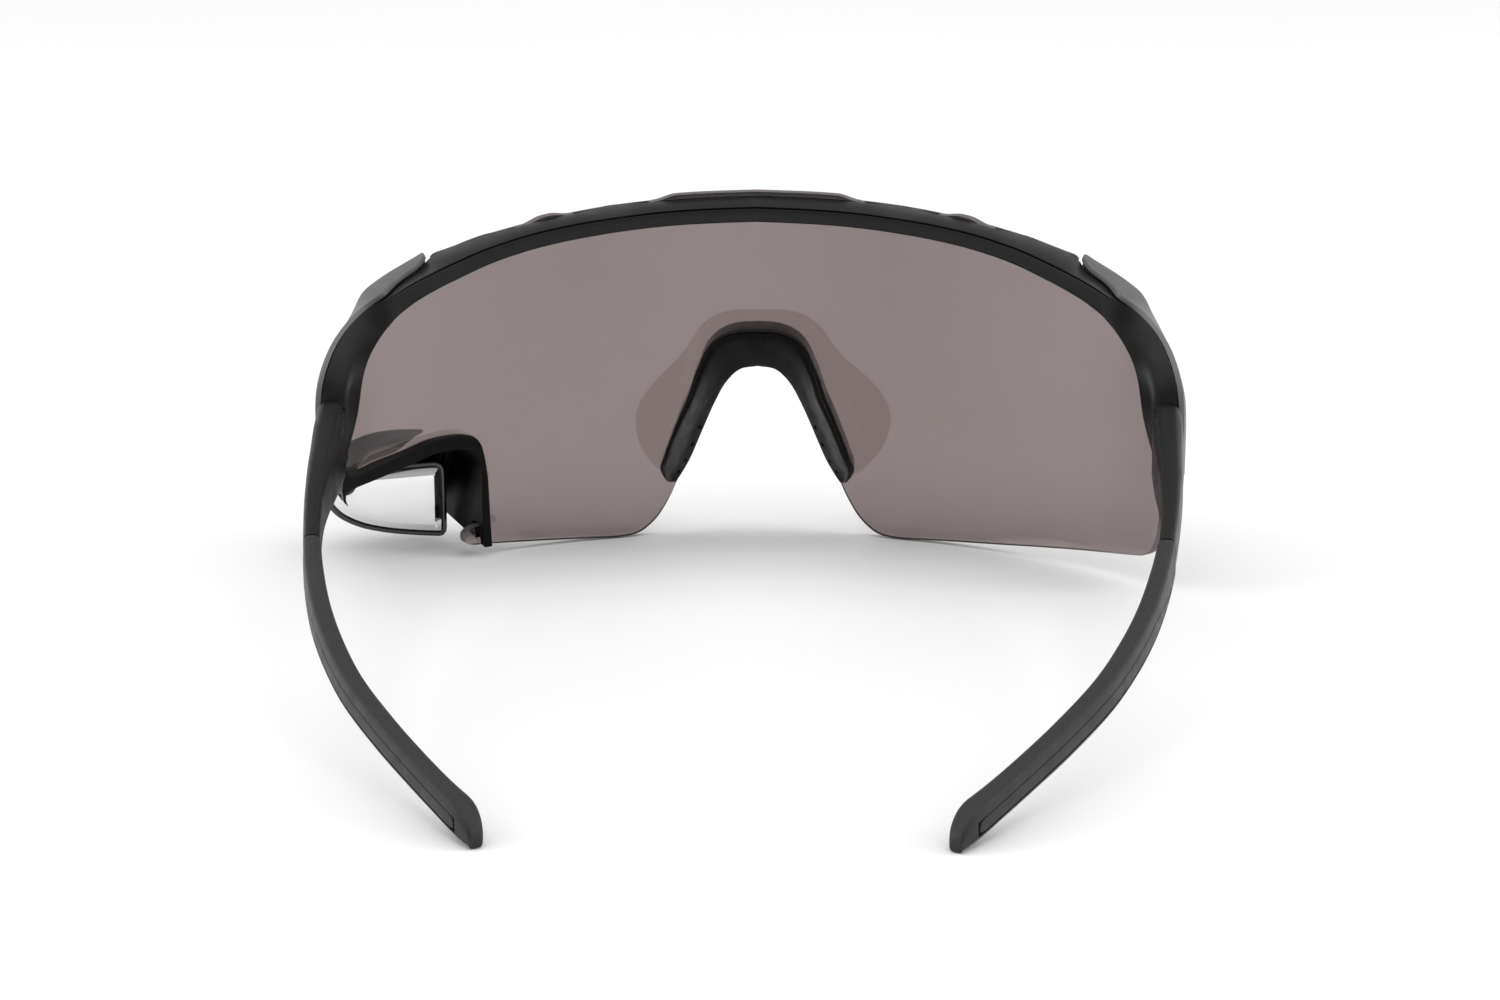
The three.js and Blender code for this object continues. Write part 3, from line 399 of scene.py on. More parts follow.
def lens_outline():
    """The whole outline in arc length and height, anticlockwise seen from behind."""
    to_arc = lambda knots, side: [(side * a * ARC, z) for a, z in knots]
    right = smooth_line(to_arc(NOSE_SIDE + PLAIN_SIDE, -1), 190)
    left = smooth_line(to_arc(NOSE_SIDE + MIRROR_SIDE, 1), 240)
    top = []
    steps = 210
    for k in range(1, steps):
        angle = lerp(LENS_END, -LENS_END, k / steps)
        top.append(Vector((angle * ARC, lens_top(angle))))
    return left + top + list(reversed(right))[:-1]


def make_lens():
    edge = 0.28
    levels = [(edge, 0.0), (0.08, 0.08), (0.0, edge), (0.0, LENS_THICK - edge)]
    levels += [(0.08, LENS_THICK - 0.08), (edge, LENS_THICK)]
    to_space = lambda s, z, out: on_lens(s / ARC, z, out)
    points, faces = plate_from_outline(lens_outline(), levels, to_space, 2.4)
    return make_object("lens", points, faces, 40)


def is_edge(face):
    """True for the lens's narrow edge faces, which look along the sheet and not through it."""
    straight = face.center - place((0, LENS_AXIS_Y, 0))
    straight.z = 0
    return abs(face.normal.dot(straight.normalized())) < 0.8


# ---------------------------------------------------------------- frame
brow_half = through(
    [
        (0, 0, 57.9, 2.5, 3.7), (1, 12.5, 57.3, 2.5, 3.6), (2, 24.7, 55.75, 2.6, 3.45),
        (3, 32.6, 53.85, 2.75, 3.3), (4, 38.2, 51.7, 3.0, 3.25), (4.4, 40.6, 50.75, 3.1, 2.75),
        (5, 43.7, 49.35, 3.35, 2.5), (6, 46.8, 47.5, 3.9, 2.3),
    ]
)
END_STATIONS = [
    (62.4, -8.1, 44.7, 64.0, -8.7, 46.8, 65.4, -9.7, 48.9, 48.5, 44.4, 48.3, 47.2),
    (64.5, -5.9, 41.2, 66.6, -6.0, 43.4, 68.9, -7.0, 45.4, 50.8, 41.2, 50.5, 43.2),
    (65.6, -4.6, 37.6, 67.6, -3.2, 39.6, 70.9, -3.4, 41.6, 51.8, 37.6, 52.2, 39.0),
    (66.2, -3.9, 33.6, 68.2, -0.6, 35.7, 72.1, -0.6, 37.0, 52.3, 33.6, 53.4, 34.8),
    (66.7, -3.1, 31, 68.3, 0, 31.6, 72.3, 0, 32, 52.4, 31, 53.7, 31),
    (67.6, -2.2, 27.8, 68.6, 0, 27.6, 72.3, 0, 25.5, 52.5, 27.4, 53.7, 25.5),
    (68.4, -2.2, 25.6, 69.0, 0, 25.0, 72.3, 0, 20.2, 52.6, 25.0, 53.7, 20.4),
]


def brow_ring(k):
    angle, z, rear, front = brow_half(k)
    step = 0.02
    a1, z1 = brow_half(min(k + step, 6))[:2]
    a0, z0 = brow_half(max(k - step, 0))[:2]
    along = Vector(((a1 - a0) * ARC, z1 - z0)).normalized()
    if k < step:
        along = Vector((1, 0))
    place_at = lambda height: (angle - along.y * height / ARC, z + along.x * height)
    at = lambda height, out: on_lens(*place_at(height), out)
    return {
        "a": at(0, -RIM_DEPTH), "b": at(rear / 2, -RIM_DEPTH), "g": at(rear, -RIM_DEPTH + 0.2),
        "at": at, "place": place_at, "front": front, "angle": angle,
    }


def near_lens(p, out=-GAP):
    return on_lens(*lens_place(p), out)


def frame_stations(per_brow, per_end):
    stations = []
    for i in range(6 * per_brow + 1):
        s = brow_ring(i / per_brow)
        reach = -GAP + 0.02 + tab(s["angle"]) * (RAIL_INNER - 0.3) * (1 - smooth(39, 41, s["angle"]))
        at, front = s["at"], s["front"]
        stations.append(
            {
                "a": s["a"], "b": s["b"], "g": s["g"], "c": at(front, reach), "e": at(front - TAB, reach),
                "f": at(front - TAB, -GAP), "d": at(0.05, -GAP),
            }
        )
    rows = []
    for k in (5, 5.5, 6):
        s = brow_ring(k)
        rows.append([k, *s["a"], *s["b"], *s["g"], *s["place"](0.05), *s["place"](s["front"])])
    rows += [[7 + i, *row] for i, row in enumerate(END_STATIONS)]
    end = through(rows)
    for i in range(1, per_end * len(END_STATIONS) + 1):
        row = end(6 + i / per_end)
        d = on_lens(row[9], row[10], -GAP)
        c = on_lens(row[11], row[12], -GAP + 0.02)
        stations.append(
            {
                "a": Vector(row[0:3]), "b": Vector(row[3:6]), "g": Vector(row[6:9]), "c": c,
                "e": near_lens(c.lerp(d, 0.18)), "f": near_lens(c.lerp(d, 0.24)), "d": d,
            }
        )
    return stations


def frame_section(s):
    a, b, g, c, d, e, f = (s[k] for k in "abgcdef")
    across = (c - g).normalized()
    deep = ((a + d) / 2 - g).normalized()
    groove = g + across * GROOVE_WIDTH / 2 + deep * GROOVE_DEPTH
    lip = g + across * GROOVE_WIDTH
    ring = [a, b, g, groove, lip, c, e, f, d]
    return rounded(ring, [0.5, 1.2, 0.22, 0.1, 0.16, 0.14, 0.08, 0.05, 0.3], 3)


def make_frame():
    half = relaxed([frame_section(s) for s in frame_stations(20, 8)], 6)
    flip = lambda ring: [Vector((-p.x, p.y, p.z)) for p in ring]
    rings = [flip(r) for r in reversed(half[1:])] + half
    body = loft(rings)
    ears = []
    for side in (-1, 1):
        for low, high in (LOWER_EAR, UPPER_EAR):
            ears.append(hinge_ear(side, low, high))
    points, faces = joined(body, *ears)
    return make_object("brow_frame", points, faces, 34)


def hinge_ear(side, low, high):
    """A rounded knuckle, rooted in the endpiece."""
    arc = [math.pi * k / 24 for k in range(25)]
    outline = [(EAR_RADIUS * math.cos(a), EAR_RADIUS * math.sin(a)) for a in arc]
    outline += [(-EAR_RADIUS, -1 - PIVOT_Y), (EAR_RADIUS, -1 - PIVOT_Y)]
    soft = 0.12
    rings = []
    for inset, z in ((soft, low), (0, low + soft), (0, high - soft), (soft, high)):
        grow = 1 - inset / EAR_RADIUS
        rings.append([Vector((side * (PIVOT_X + x * grow), PIVOT_Y + y * grow, z)) for x, y in outline])
    return loft(rings)


def make_rail():
    rings = []
    for i in range(181):
        angle = lerp(-RAIL_END, RAIL_END, i / 180)
        top = brow_edge(abs(angle))[0]
        shrink = 1 - math.sqrt(max(0, 1 - smooth(RAIL_END - 0.7, RAIL_END, abs(angle)) * 0.75))
        low, high = top - RAIL_DROP + shrink * 0.4, top + RAIL_RISE - shrink * 0.3
        ring = [
            on_lens(angle, low, RAIL_INNER),
            on_lens(angle, high - 0.05, RAIL_INNER),
            on_lens(angle, high, RAIL_INNER + 0.5),
            on_lens(angle, high - 0.2, RAIL_OUTER - 0.2 - shrink * 0.5),
            on_lens(angle, high - 0.5, RAIL_OUTER - shrink * 0.5),
            on_lens(angle, low + 0.3, RAIL_OUTER - 0.2 - shrink * 0.5),
            on_lens(angle, low, RAIL_OUTER - 0.6 - shrink * 0.3),
        ]
        rings.append(rounded(ring, [0.1, 0.16, 0.3, 0.3, 0.4, 0.3, 0.2], 3))
    points, faces = loft(with_round_ends(rings, 0.35))
    return make_object("brow_rail_shell", points, faces, 40)


def cover_rings():
    per_brow, per_end = 18, 9
    stations = frame_stations(per_brow, per_end)
    first = round(25 / 6 * per_brow)
    under = 0.2
    thick = COVER_THICK + GAP + 0.25 - under
    rings = []
    used = len(stations) - first
    for i in range(used):
        s = stations[first + i]
        before, after = stations[first + i - 1], stations[min(first + i + 1, len(stations) - 1)]
        along = (after["c"] - before["c"]).normalized()
        across = (s["g"] - s["c"]).normalized()
        out = across.cross(along).normalized()
        if out.dot(s["c"] - s["d"]) < 0:
            out.negate()
        back = smooth(0.05, 0.6, i / used)
        rear = s["c"].lerp(s["g"], back) - across * 0.05
        front = on_lens(*lens_place(s["c"]), COVER_INNER)
        forward = on_lens(*lens_place(s["c"]), COVER_OUTER)
        foot = s["d"].lerp(s["c"], 0.05)
        inner = on_lens(*lens_place(foot), COVER_INNER)
        inner_face = on_lens(*lens_place(foot), COVER_OUTER - 0.5)
        top = front + out * (under + thick)
        rings.append(
            [
                inner, inner_face, forward - out * 0.5, (forward + out * 0.35).lerp(top, 0.35), top,
                rear + out * (under + thick - 0.15), rear + out * under, front + out * under,
            ]
        )
    return rings


def relaxed(rings, rounds):
    """Rings eased along their length, so that short-range waves disappear."""
    for _ in range(rounds):
        eased = [rings[0]]
        for before, ring, after in zip(rings, rings[1:], rings[2:]):
            eased.append([(a + 2 * b + c) / 4 for a, b, c in zip(before, ring, after)])
        rings = eased + [rings[-1]]
    return rings


def make_cover(side):
    rings = relaxed(cover_rings(), 14)
    rings = [rounded(r, [0.12, 0.3, 0.5, 0.6, 0.6, 0.25, 0.12, 0.2], 3) for r in rings]
    points, faces = on_side(side, *loft(with_round_ends(rings, 0.2)))
    return make_object("cover_" + side, points, faces, 42)


# ---------------------------------------------------------------- temples
temple = through(
    [
        (0, 70.5, 35.8, 5.1, 14.0), (7, 70.4, 33.9, 5.1, 12.4), (14, 70.25, 31.9, 4.6, 10.8),
        (20, 70.2, 30.2, 4.0, 9.4), (27, 69.95, 28.2, 3.3, 8.2), (34, 69.35, 26.2, 2.95, 7.3),
        (41, 68.5, 24.2, 2.8, 6.6), (50, 66.9, 21.8, 2.95, 6.3), (60, 64.5, 19.1, 3.05, 6.0),
        (70, 61.2, 16.5, 3.1, 5.7), (80, 56.95, 13.9, 3.1, 5.4), (91, 50.7, 11.0, 3.1, 5.2),
        (100, 45.0, 8.7, 3.2, 5.0), (107, 40.25, 6.9, 3.5, 4.9), (112, 36.45, 5.6, 4.0, 5.0),
        (TIP_END, 33.65, 4.75, 4.0, 4.7),
    ]
)
SECTION = [
    (-1, -0.72), (-1, 0.78), (-0.6, 1), (0.5, 1), (0.86, 0.86), (1.0, 0.5), (1.0, -0.5),
    (0.8, -0.9), (0.4, -1), (-0.6, -1),
]
SECTION_ROUND = [0.9, 0.7, 0.5, 0.5, 0.4, 0.8, 0.9, 0.5, 0.5, 0.7]


def temple_station(y):
    x, top, thick, tall = temple(y)
    x1, top1, _, tall1 = temple(y + 0.5)
    x0, top0, _, tall0 = temple(y - 0.5)
    run = 1 if y > 0.4 else 0.5
    along = Vector((x1 - x0, run, top1 - tall1 / 2 - top0 + tall0 / 2)).normalized()
    out = along.cross(Vector((0, 0, 1))).normalized()
    return {"centre": Vector((x, y, top - tall / 2)), "out": out, "thick": thick, "tall": tall}


def temple_ring(y, grow=0.0, shape=SECTION):
    s = temple_station(y)
    across = s["out"] * (s["thick"] / 2 + grow)
    up = Vector((0, 0, s["tall"] / 2 + grow))
    return [s["centre"] + across * a + up * b for a, b in shape]


TANG_INNER, TANG_OUTER, TANG_SHY, TANG_END = 0.6, 0.1, 0.85, 96.0
TANG_STATIONS = (SLEEVE_START, 50, 60, 70, 80, 88, TANG_END)


def tang_ring(y, grow, shape):
    """The tang inside the sleeve; grown, it is the sleeve's pocket."""
    s = temple_station(y)
    ring = []
    for a, b in shape:
        across = lerp(TANG_INNER - s["thick"] / 2 - grow, TANG_OUTER + grow, (a + 1) / 2)
        up = b * (s["tall"] / 2 - TANG_SHY + grow)
        ring.append(s["centre"] + s["out"] * across + Vector((0, 0, up)))
    return ring


def hinge_centre(side):
    """A point of the hinge line, at height 0."""
    return Vector((PIVOT_X if side == "left" else -PIVOT_X, PIVOT_Y, 0))


def make_arm(side):
    rings = []
    steps = 8
    for k in range(steps + 1):
        y = lerp(GAP, PIVOT_Y, (k / steps) ** 1.6)
        inner = PIVOT_X - math.sqrt(max(0, EAR_RADIUS**2 - (PIVOT_Y - y) ** 2))
        ring = []
        for p in temple_ring(PIVOT_Y):
            ring.append(Vector((max(p.x, inner + (p.x - PIVOT_X + EAR_RADIUS) * 0.02), y, p.z)))
        rings.append(ring)
    rings += [temple_ring(y) for y in [2.8 + 1.2 * k for k in range(32)]]
    rings.append(temple_ring(SLEEVE_START - 0.2))
    rings = [rounded(r, SECTION_ROUND, 3) for r in rings]
    tang = [tang_ring(y, 0.0, SECTION) for y in (SLEEVE_START - 0.2, *TANG_STATIONS)]
    points, faces = loft(rings + [rounded(r, 0.2, 3) for r in tang])
    clear = EAR_RADIUS + GAP
    tools = []
    for low, high in (LOWER_EAR, UPPER_EAR):
        z = (low - GAP, high + GAP)
        tools.append(turned([(clear, height) for height in z], hinge_centre("left"), sides=56))
        tools.append(block((PIVOT_X - clear - 1, PIVOT_X + clear), (-1, PIVOT_Y), z))
        tools.append(block((PIVOT_X - clear - 1, PIVOT_X), (-1, PIVOT_Y + clear), z))
    tools.append(turned([(BORE, 20), (BORE, UPPER_EAR[1] - 1)], hinge_centre("left"), sides=32))
    arm = make_object("arm_" + side, *on_side(side, points, faces), 34)
    cut_with(arm, *[on_side(side, *tool) for tool in tools])
    tidy_mesh(arm, 30)
    return arm


INLAY_START, INLAY_END = 47.0, 112.0
INLAY_LOW, INLAY_HIGH, INLAY_DEPTH, INLAY_GROOVE = -0.62, 0.3, 0.75, 0.17
SLEEVE_SKIN = 0.12


def inlay_share(y):
    return lerp(-0.35, INLAY_HIGH, smooth(INLAY_START, INLAY_START + 14, y))


def hoof(y):
    """How much of the section's height is left as the sleeve rounds down to its tip."""
    t = min(max((y - TIP_START) / (TIP_END - TIP_START), 0.0), 1.0)
    return math.sqrt(1 - t * t)


def lowered(y, share):
    return (share + 1) * hoof(y) - 1


def sleeve_shape(y, depth=0.0):
    high = inlay_share(y)
    edge = 0.02
    shape = [
        (-1, -0.72), (-1, 0.78), (-0.6, 1), (0.5, 1), (0.86, 0.86), (1, high),
        (1 - depth, high - edge), (1 - depth, INLAY_LOW + edge), (1, INLAY_LOW), (0.8, -0.9),
        (0.4, -1), (-0.6, -1),
    ]
    narrow = lerp(TIP_NARROW, 1, hoof(y))
    return [(1 - (1 - a) * narrow, lowered(y, b)) for a, b in shape]


def sleeve_ring(y, sunk=False, skin=SLEEVE_SKIN):
    depth = INLAY_DEPTH / (temple_station(y)["thick"] / 2 + skin) if sunk else 0.0
    return temple_ring(y, skin, sleeve_shape(y, depth))


def shrunk(ring, share):
    middle = ring_middle(ring)
    return [middle + (p - middle) * share for p in ring]


def make_sleeve(side):
    rounds = [0.9, 0.6, 0.5, 0.45, 0.3, 0.1, 0.04, 0.04, 0.1, 0.5, 0.5, 0.7]
    ends = [(114.99, 0.5), (114.98, 0.8), (114.94, 0.93)]
    rings = [shrunk(sleeve_ring(y), share) for y, share in ends]
    for k in range(12, 3, -1):
        rings.append(sleeve_ring(lerp(TIP_START, TIP_END, 0.96 * math.sin(k / 12 * math.pi / 2))))
    rings.append(sleeve_ring(INLAY_END + 0.1))
    rings.append(sleeve_ring(INLAY_END, True))
    count = 80
    for k in range(1, count + 1):
        rings.append(sleeve_ring(lerp(INLAY_END, 47.4, k / count), True))
    rings += [sleeve_ring(y) for y in (47.3, 46, 44.5, 43, 42, 41.45)]
    rings.append(sleeve_ring(SLEEVE_START + 0.25, False, SLEEVE_SKIN - 0.06))
    rings.append(sleeve_ring(SLEEVE_START + 0.15, False, SLEEVE_SKIN - 0.2))
    for y in (SLEEVE_START + 0.2, *TANG_STATIONS[1:-1], TANG_END + GAP):
        rings.append(tang_ring(y, GAP, sleeve_shape(y)))
    points, faces = on_side(side, *loft([rounded(r, rounds, 2) for r in rings]))
    return make_object("sleeve_" + side, points, faces, 34)


def make_inlay(side):
    rings = []
    first, last, rounding = INLAY_START + 0.5, INLAY_END - 0.2, 1.4
    ys = [first + 0.14 * k for k in range(11)]
    ys += [lerp(first + 1.6, last - 1.6, k / 60) for k in range(61)]
    ys += [last - 0.14 * k for k in range(10, -1, -1)]
    chamfer = 0.12
    for y in ys:
        s = temple_station(y)
        half = s["tall"] / 2 + SLEEVE_SKIN
        top = lowered(y, inlay_share(y)) * half - INLAY_GROOVE
        low = lowered(y, INLAY_LOW) * half + INLAY_GROOVE
        t = 1 - min(y - first, last - y, rounding) / rounding
        tall = (top - low) / 2 * lerp(0.35, 1, math.sqrt(max(0.0, 1 - t * t)))
        face = s["thick"] / 2 + SLEEVE_SKIN
        point = lambda across, up: (
            s["centre"] + s["out"] * across + Vector((0, 0, (top + low) / 2 + up * tall))
        )
        base = face - INLAY_DEPTH + GAP - 0.05
        rings.append(
            [
                point(base, -1), point(base, 1), point(face - chamfer, 1),
                point(face, 0.85), point(face, -0.85), point(face - chamfer, -1),
            ]
        )
    rings = [rounded(r, [0.05, 0.05, 0.1, 0.3, 0.3, 0.1], 2) for r in rings]
    points, faces = on_side(side, *loft(rings))
    return make_object("inlay_" + side, points, faces, 40)


# ---------------------------------------------------------------- hinge hardware
def make_screw(side):
    head = LOWER_EAR[0] + 0.25
    end = UPPER_EAR[1] - 0.5
    profile = [(0.85, head), (0.96, head + 0.06), (1.0, head + 0.16), (1.0, head + 0.62)]
    profile += [(0.94, head + 0.7), (0.6, head + 0.7)]
    z = head + 1.0
    while z < end - 0.3:
        profile += [(0.6, z), (0.54, z + 0.1), (0.6, z + 0.2)]
        z += 0.25
    profile.append((0.5, end))
    centre = hinge_centre(side)
    body = make_object("hinge_screw_shell_" + side, *turned(profile, centre), 30)
    slot = ((centre.x - 0.8, centre.x + 0.8), (PIVOT_Y - 0.15, PIVOT_Y + 0.15), (head - 1, head + 0.3))
    cut_with(body, block(*slot))
    tidy_mesh(body, 30)
    return body


def make_nut(side):
    low, high = UPPER_EAR[0] + 1.0, UPPER_EAR[0] + 2.4
    profile = [(0.7, low), (1.02, low), (1.1, low + 0.1), (1.1, high - 0.1), (1.02, high), (0.78, high)]
    profile += [(0.7, high - 0.1), (0.7, low)]
    points, faces = turned(profile, hinge_centre(side))
    return make_object("hinge_nut_shell_" + side, points, faces[:-2], 30)


# ---------------------------------------------------------------- nose piece
nose_half = through(
    [
        (0, 0, 31.0, 7.8, 3.0), (1, 3.2, 30.4, 7.8, 2.9), (2, 5.7, 28.1, 6.0, 2.4), (3, 7.6, 24.8, 5.0, 1.8),
        (4, 9.3, 21.1, 4.9, 1.4), (5, 10.8, 17.6, 4.8, 1.1), (6, 12.3, 14.3, 4.6, 0.8),
        (7, 13.9, 11.6, 4.1, 0.6), (7.4, 14.6, 10.6, 3.4, 0.5), (7.7, 15.1, 10.0, 2.4, 0.4),
    ]
)
NOSE_REACH = 7.7
NOSE_DEPTH, NOSE_SHELL, CLIP_END = 7.2, 1.2, 4.4


def nose_station(u):
    side = -1 if u < 0 else 1
    k = abs(u)
    x, z, wide, edge = nose_half(k)
    x1, z1 = nose_half(k + 0.05)[:2]
    x0, z0 = nose_half(max(k - 0.05, 0))[:2]
    along = Vector((x1 - x0, z1 - z0)).normalized()
    if k < 0.05:
        along = Vector((1, 0))

    def at(q, o):
        px = x - along.y * q
        angle = math.degrees(math.asin(px / (LENS_RADIUS + o)))
        return on_lens(side * angle, z + along.x * q, o)

    return at, wide, edge, k


def nose_rings(shape, rounds, reach=NOSE_REACH, count=150):
    rings = []
    for i in range(count + 1):
        rings.append(rounded(shape(*nose_station(lerp(-reach, reach, i / count))), rounds, 3))
    return rings


def make_carrier():
    def shell(at, wide, edge, k):
        fade = 1 - smooth(6.2, 7.7, k)
        rear = -lerp(4.6, NOSE_DEPTH, fade)
        inner = max(edge - 0.9, 0.15)
        outer = max(wide, inner + 1.9)
        return [
            at(inner, -GAP), at(outer - 0.35, -GAP), at(outer, -GAP - 0.4), at(outer, rear + 0.3),
            at(outer - 0.3, rear), at(outer - NOSE_SHELL, rear), at(outer - NOSE_SHELL, -1.6),
            at(inner, -1.6),
        ]

    def clip(at, _wide, edge, _k):
        inner = edge - 0.9
        return [
            at(inner, -0.9), at(inner, 3.2), at(inner + 0.3, 3.5), at(edge + 1.6, 3.4),
            at(edge + 1.6, LENS_THICK + GAP), at(edge - 0.45, LENS_THICK + GAP), at(edge - 0.45, -0.9),
        ]

    back = loft(with_round_ends(nose_rings(shell, [0.1, 0.3, 0.3, 0.3, 0.3, 0.25, 0.2, 0.1]), 0.3))
    front = loft(with_round_ends(nose_rings(clip, 0.25, CLIP_END, 90), 0.3))
    points, faces = joined(back, front)
    return make_object("nose_shell", points, faces, 40)


wing = through([(0, 8.5), (2, 10.8), (3.5, 14.4), (5, 15.6), (6.2, 13.6), (7, 10.4), (7.7, 7)])
WING_RISE, WING_SPREAD = 0.3, 0.3
DIMPLE_RADIUS = 0.42


def make_pad():
    def section(at, wide, edge, k):
        fade = 1 - smooth(6.2, 7.7, k)
        rear = -lerp(5.2, NOSE_DEPTH + 0.9, fade)
        inner = max(edge - 0.9, 0.15)
        outer = max(wide, inner + 1.9)
        corner = outer - NOSE_SHELL - GAP
        deep = -wing(k)[0]
        lift = Vector((0, 0, (rear - deep) * WING_RISE))
        flare = WING_SPREAD * smooth(3, 5.5, k) * (1 - smooth(6.6, 7.6, k))
        middle = min(0.42 * outer - 0.15, corner - 0.45)
        return [
            at(0, -1.9), at(max(corner, 0.3), -1.9), at(corner, rear + 1.2),
            at(corner + 0.15, rear + 0.9 - GAP), at(outer - 0.5, rear + 0.9 - GAP),
            at(outer - 0.7 + flare, deep + 0.1) + lift, at(outer - 1.4 + flare, deep + 0.25) + lift,
            at(middle, lerp(-1.9, rear, 0.62)), at(-0.2, -2.6),
        ]

    rings = nose_rings(section, [0.2, 0.1, 0.1, 0.1, 0.3, 0.5, 1.2, 2.2, 0.6])
    points, faces = loft(with_round_ends(rings, 0.5, 5))
    pad = make_object("nose_saddle", points, faces, 50)
    dimples = []
    for side in (-1, 1):
        for k in (4.3, 5.2, 6.1, 6.85):
            at, wide = nose_station(side * k)[:2]
            centre = at(wide * 0.16 - 0.1, lerp(-1.9, -NOSE_DEPTH - 0.9, 0.3))
            arcs = [math.pi * i / 10 - math.pi / 2 for i in range(11)]
            profile = [(DIMPLE_RADIUS * math.cos(a), DIMPLE_RADIUS * math.sin(a)) for a in arcs]
            dimples.append(turned(profile, centre, sides=20))
    cut_with(pad, *dimples)
    tidy_mesh(pad, 50)
    return pad


# ---------------------------------------------------------------- mirror pod
MIRROR = Vector((65.0, -27.6, 8.6))
MIRROR_GLASS = 1.6
POD_YAW = math.radians(19)
POD_U = Vector((math.cos(POD_YAW), math.sin(POD_YAW), 0))
POD_N = Vector((-math.sin(POD_YAW), math.cos(POD_YAW), 0))
BALL_U, BALL_W, BALL_DEPTH, BALL_RADIUS, BALL_FIT, BALL_NECK = -0.6, 2.0, -5.6, 1.5, 0.12, 0.8
WALL_INNER, WALL_OUTER = -9.2, -10.4
GLASS_OUTLINE = [
    (-9.7, 6.2), (-9.7, -6.4), (-4, -5.6), (1.5, -4.5), (5.6, -3.1), (8.9, -1.0), (10.7, 1.6), (10.9, 4.2),
    (9.6, 6.2),
]


def pod_point(u, w, n):
    return MIRROR + POD_U * u + POD_N * n + Vector((0, 0, w))


def glass_outline(count=90):
    top, foot, *rest = [Vector(p) for p in GLASS_OUTLINE]
    curve = smooth_line([foot] + rest, count)
    head = [rest[-1].lerp(top, k / 20) for k in range(1, 20)]
    side = [top.lerp(foot, k / 14) for k in range(0, 14)]
    outline = curve[:-1] + [rest[-1]] + head + side
    return round_corners(outline, 0.35)


def round_corners(outline, amount):
    """A light easing of the outline's corners."""
    for _ in range(3):
        eased = []
        count = len(outline)
        for i, p in enumerate(outline):
            middle = (outline[i - 1] + outline[(i + 1) % count]) / 2
            eased.append(p.lerp(middle, amount))
        outline = eased
    return outline


def make_glass():
    levels = [(0.3, -MIRROR_GLASS), (0.3, -0.6), (0.36, -0.5), (1.5, -0.02), (1.62, 0.0)]
    points, faces = plate_from_outline(glass_outline(), levels, pod_point, 1.6)
    return make_object("mirror_plate", points, faces, 14)


def make_tray():
    levels = [(-0.4, -2.8), (-0.68, -2.7), (-0.8, -2.4), (-0.8, -1.0), (-0.7, -0.75), (-0.5, -0.62)]
    levels += [(-0.15, -0.6), (0.0, -0.66), (0.02, -0.8), (0.0, -MIRROR_GLASS - GAP)]
    points, faces = plate_from_outline(glass_outline(), levels, pod_point, 1.6)
    return make_object("mirror_carrier", points, faces, 34)


def pod_turned(profile):
    return turned(profile, pod_point(BALL_U, BALL_W, 0), POD_N)


def make_socket():
    near, far = -3.5, BALL_DEPTH - 0.8
    hollow = BALL_RADIUS + BALL_FIT
    profile = [(0, near), (2.1, near), (2.3, near - 0.2), (2.3, far + 0.15), (2.15, far)]
    mouth = math.sqrt(hollow**2 - 0.8**2)
    profile.append((mouth + 0.1, far))
    start = math.asin(-0.8 / hollow)
    for k in range(13):
        a = lerp(start, math.pi / 2, k / 12)
        profile.append((hollow * math.cos(a), BALL_DEPTH + hollow * math.sin(a)))
    return make_object("mirror_cup", *pod_turned(profile), 35)


def make_stud():
    profile = []
    for k in range(21):
        a = lerp(math.pi / 2, -math.acos(BALL_NECK / BALL_RADIUS), k / 20)
        profile.append((BALL_RADIUS * math.cos(a), BALL_DEPTH + BALL_RADIUS * math.sin(a)))
    collar = WALL_INNER + GAP
    profile += [(BALL_NECK, collar + 0.7), (1.5, collar + 0.6), (1.6, collar + 0.5), (1.6, collar)]
    profile.append((BALL_NECK, collar))
    head = WALL_OUTER - GAP
    profile += [(BALL_NECK, head), (1.5, head), (1.5, head - 0.35), (1.2, head - 0.55), (0, head - 0.6)]
    return make_object("mirror_stud_shell", *pod_turned(profile), 35)


HOOD_REAR = [
    (33.4, 1.9), (33.4, 6), (33.4, 10.5), (33.5, 15.4), (34.2, 19.4), (36.0, 21.2), (39.6, 21.5),
    (44, 20.4), (49, 19.5), (53.4, 18.8), (54.3, 17.4), (54.2, 15.5),
]
HOOD_FRONT = [
    (-11.7, -3.2), (-12.3, 0), (-13.2, 3), (-13.9, 6.2), (-13.4, 9.0), (-10.8, 10.8), (-5.2, 11.9),
    (1.2, 12.0), (6.6, 10.8), (10.4, 9.9), (11.6, 8.7), (12.0, 7.8),
]
HOOD_REAR_OUT, HOOD_FRONT_N, HOOD_WALL = -1.9, -6.0, 1.3


def hood_arch(share, inset=0.0, close=0.0, ahead=0.0, rise=0.0):
    middle = on_lens(43, 5).lerp(pod_point(0, 0, HOOD_FRONT_N), share)
    ring = []
    for (angle, z), (u, w) in zip(HOOD_REAR, HOOD_FRONT):
        p = on_lens(angle, z, HOOD_REAR_OUT).lerp(pod_point(u, w, HOOD_FRONT_N), share)
        inward = middle - p
        inward.z = 0
        inward.normalize()
        top = smooth(12, 20, z)
        p += inward * inset * (1 - 0.7 * top)
        p.z += rise * top - inset * top
        heart = pod_point(-0.4, 2.5, 0)
        p = p.lerp(heart + POD_N * (p - heart).dot(POD_N), close)
        ring.append(p - POD_N * ahead)
    return ring


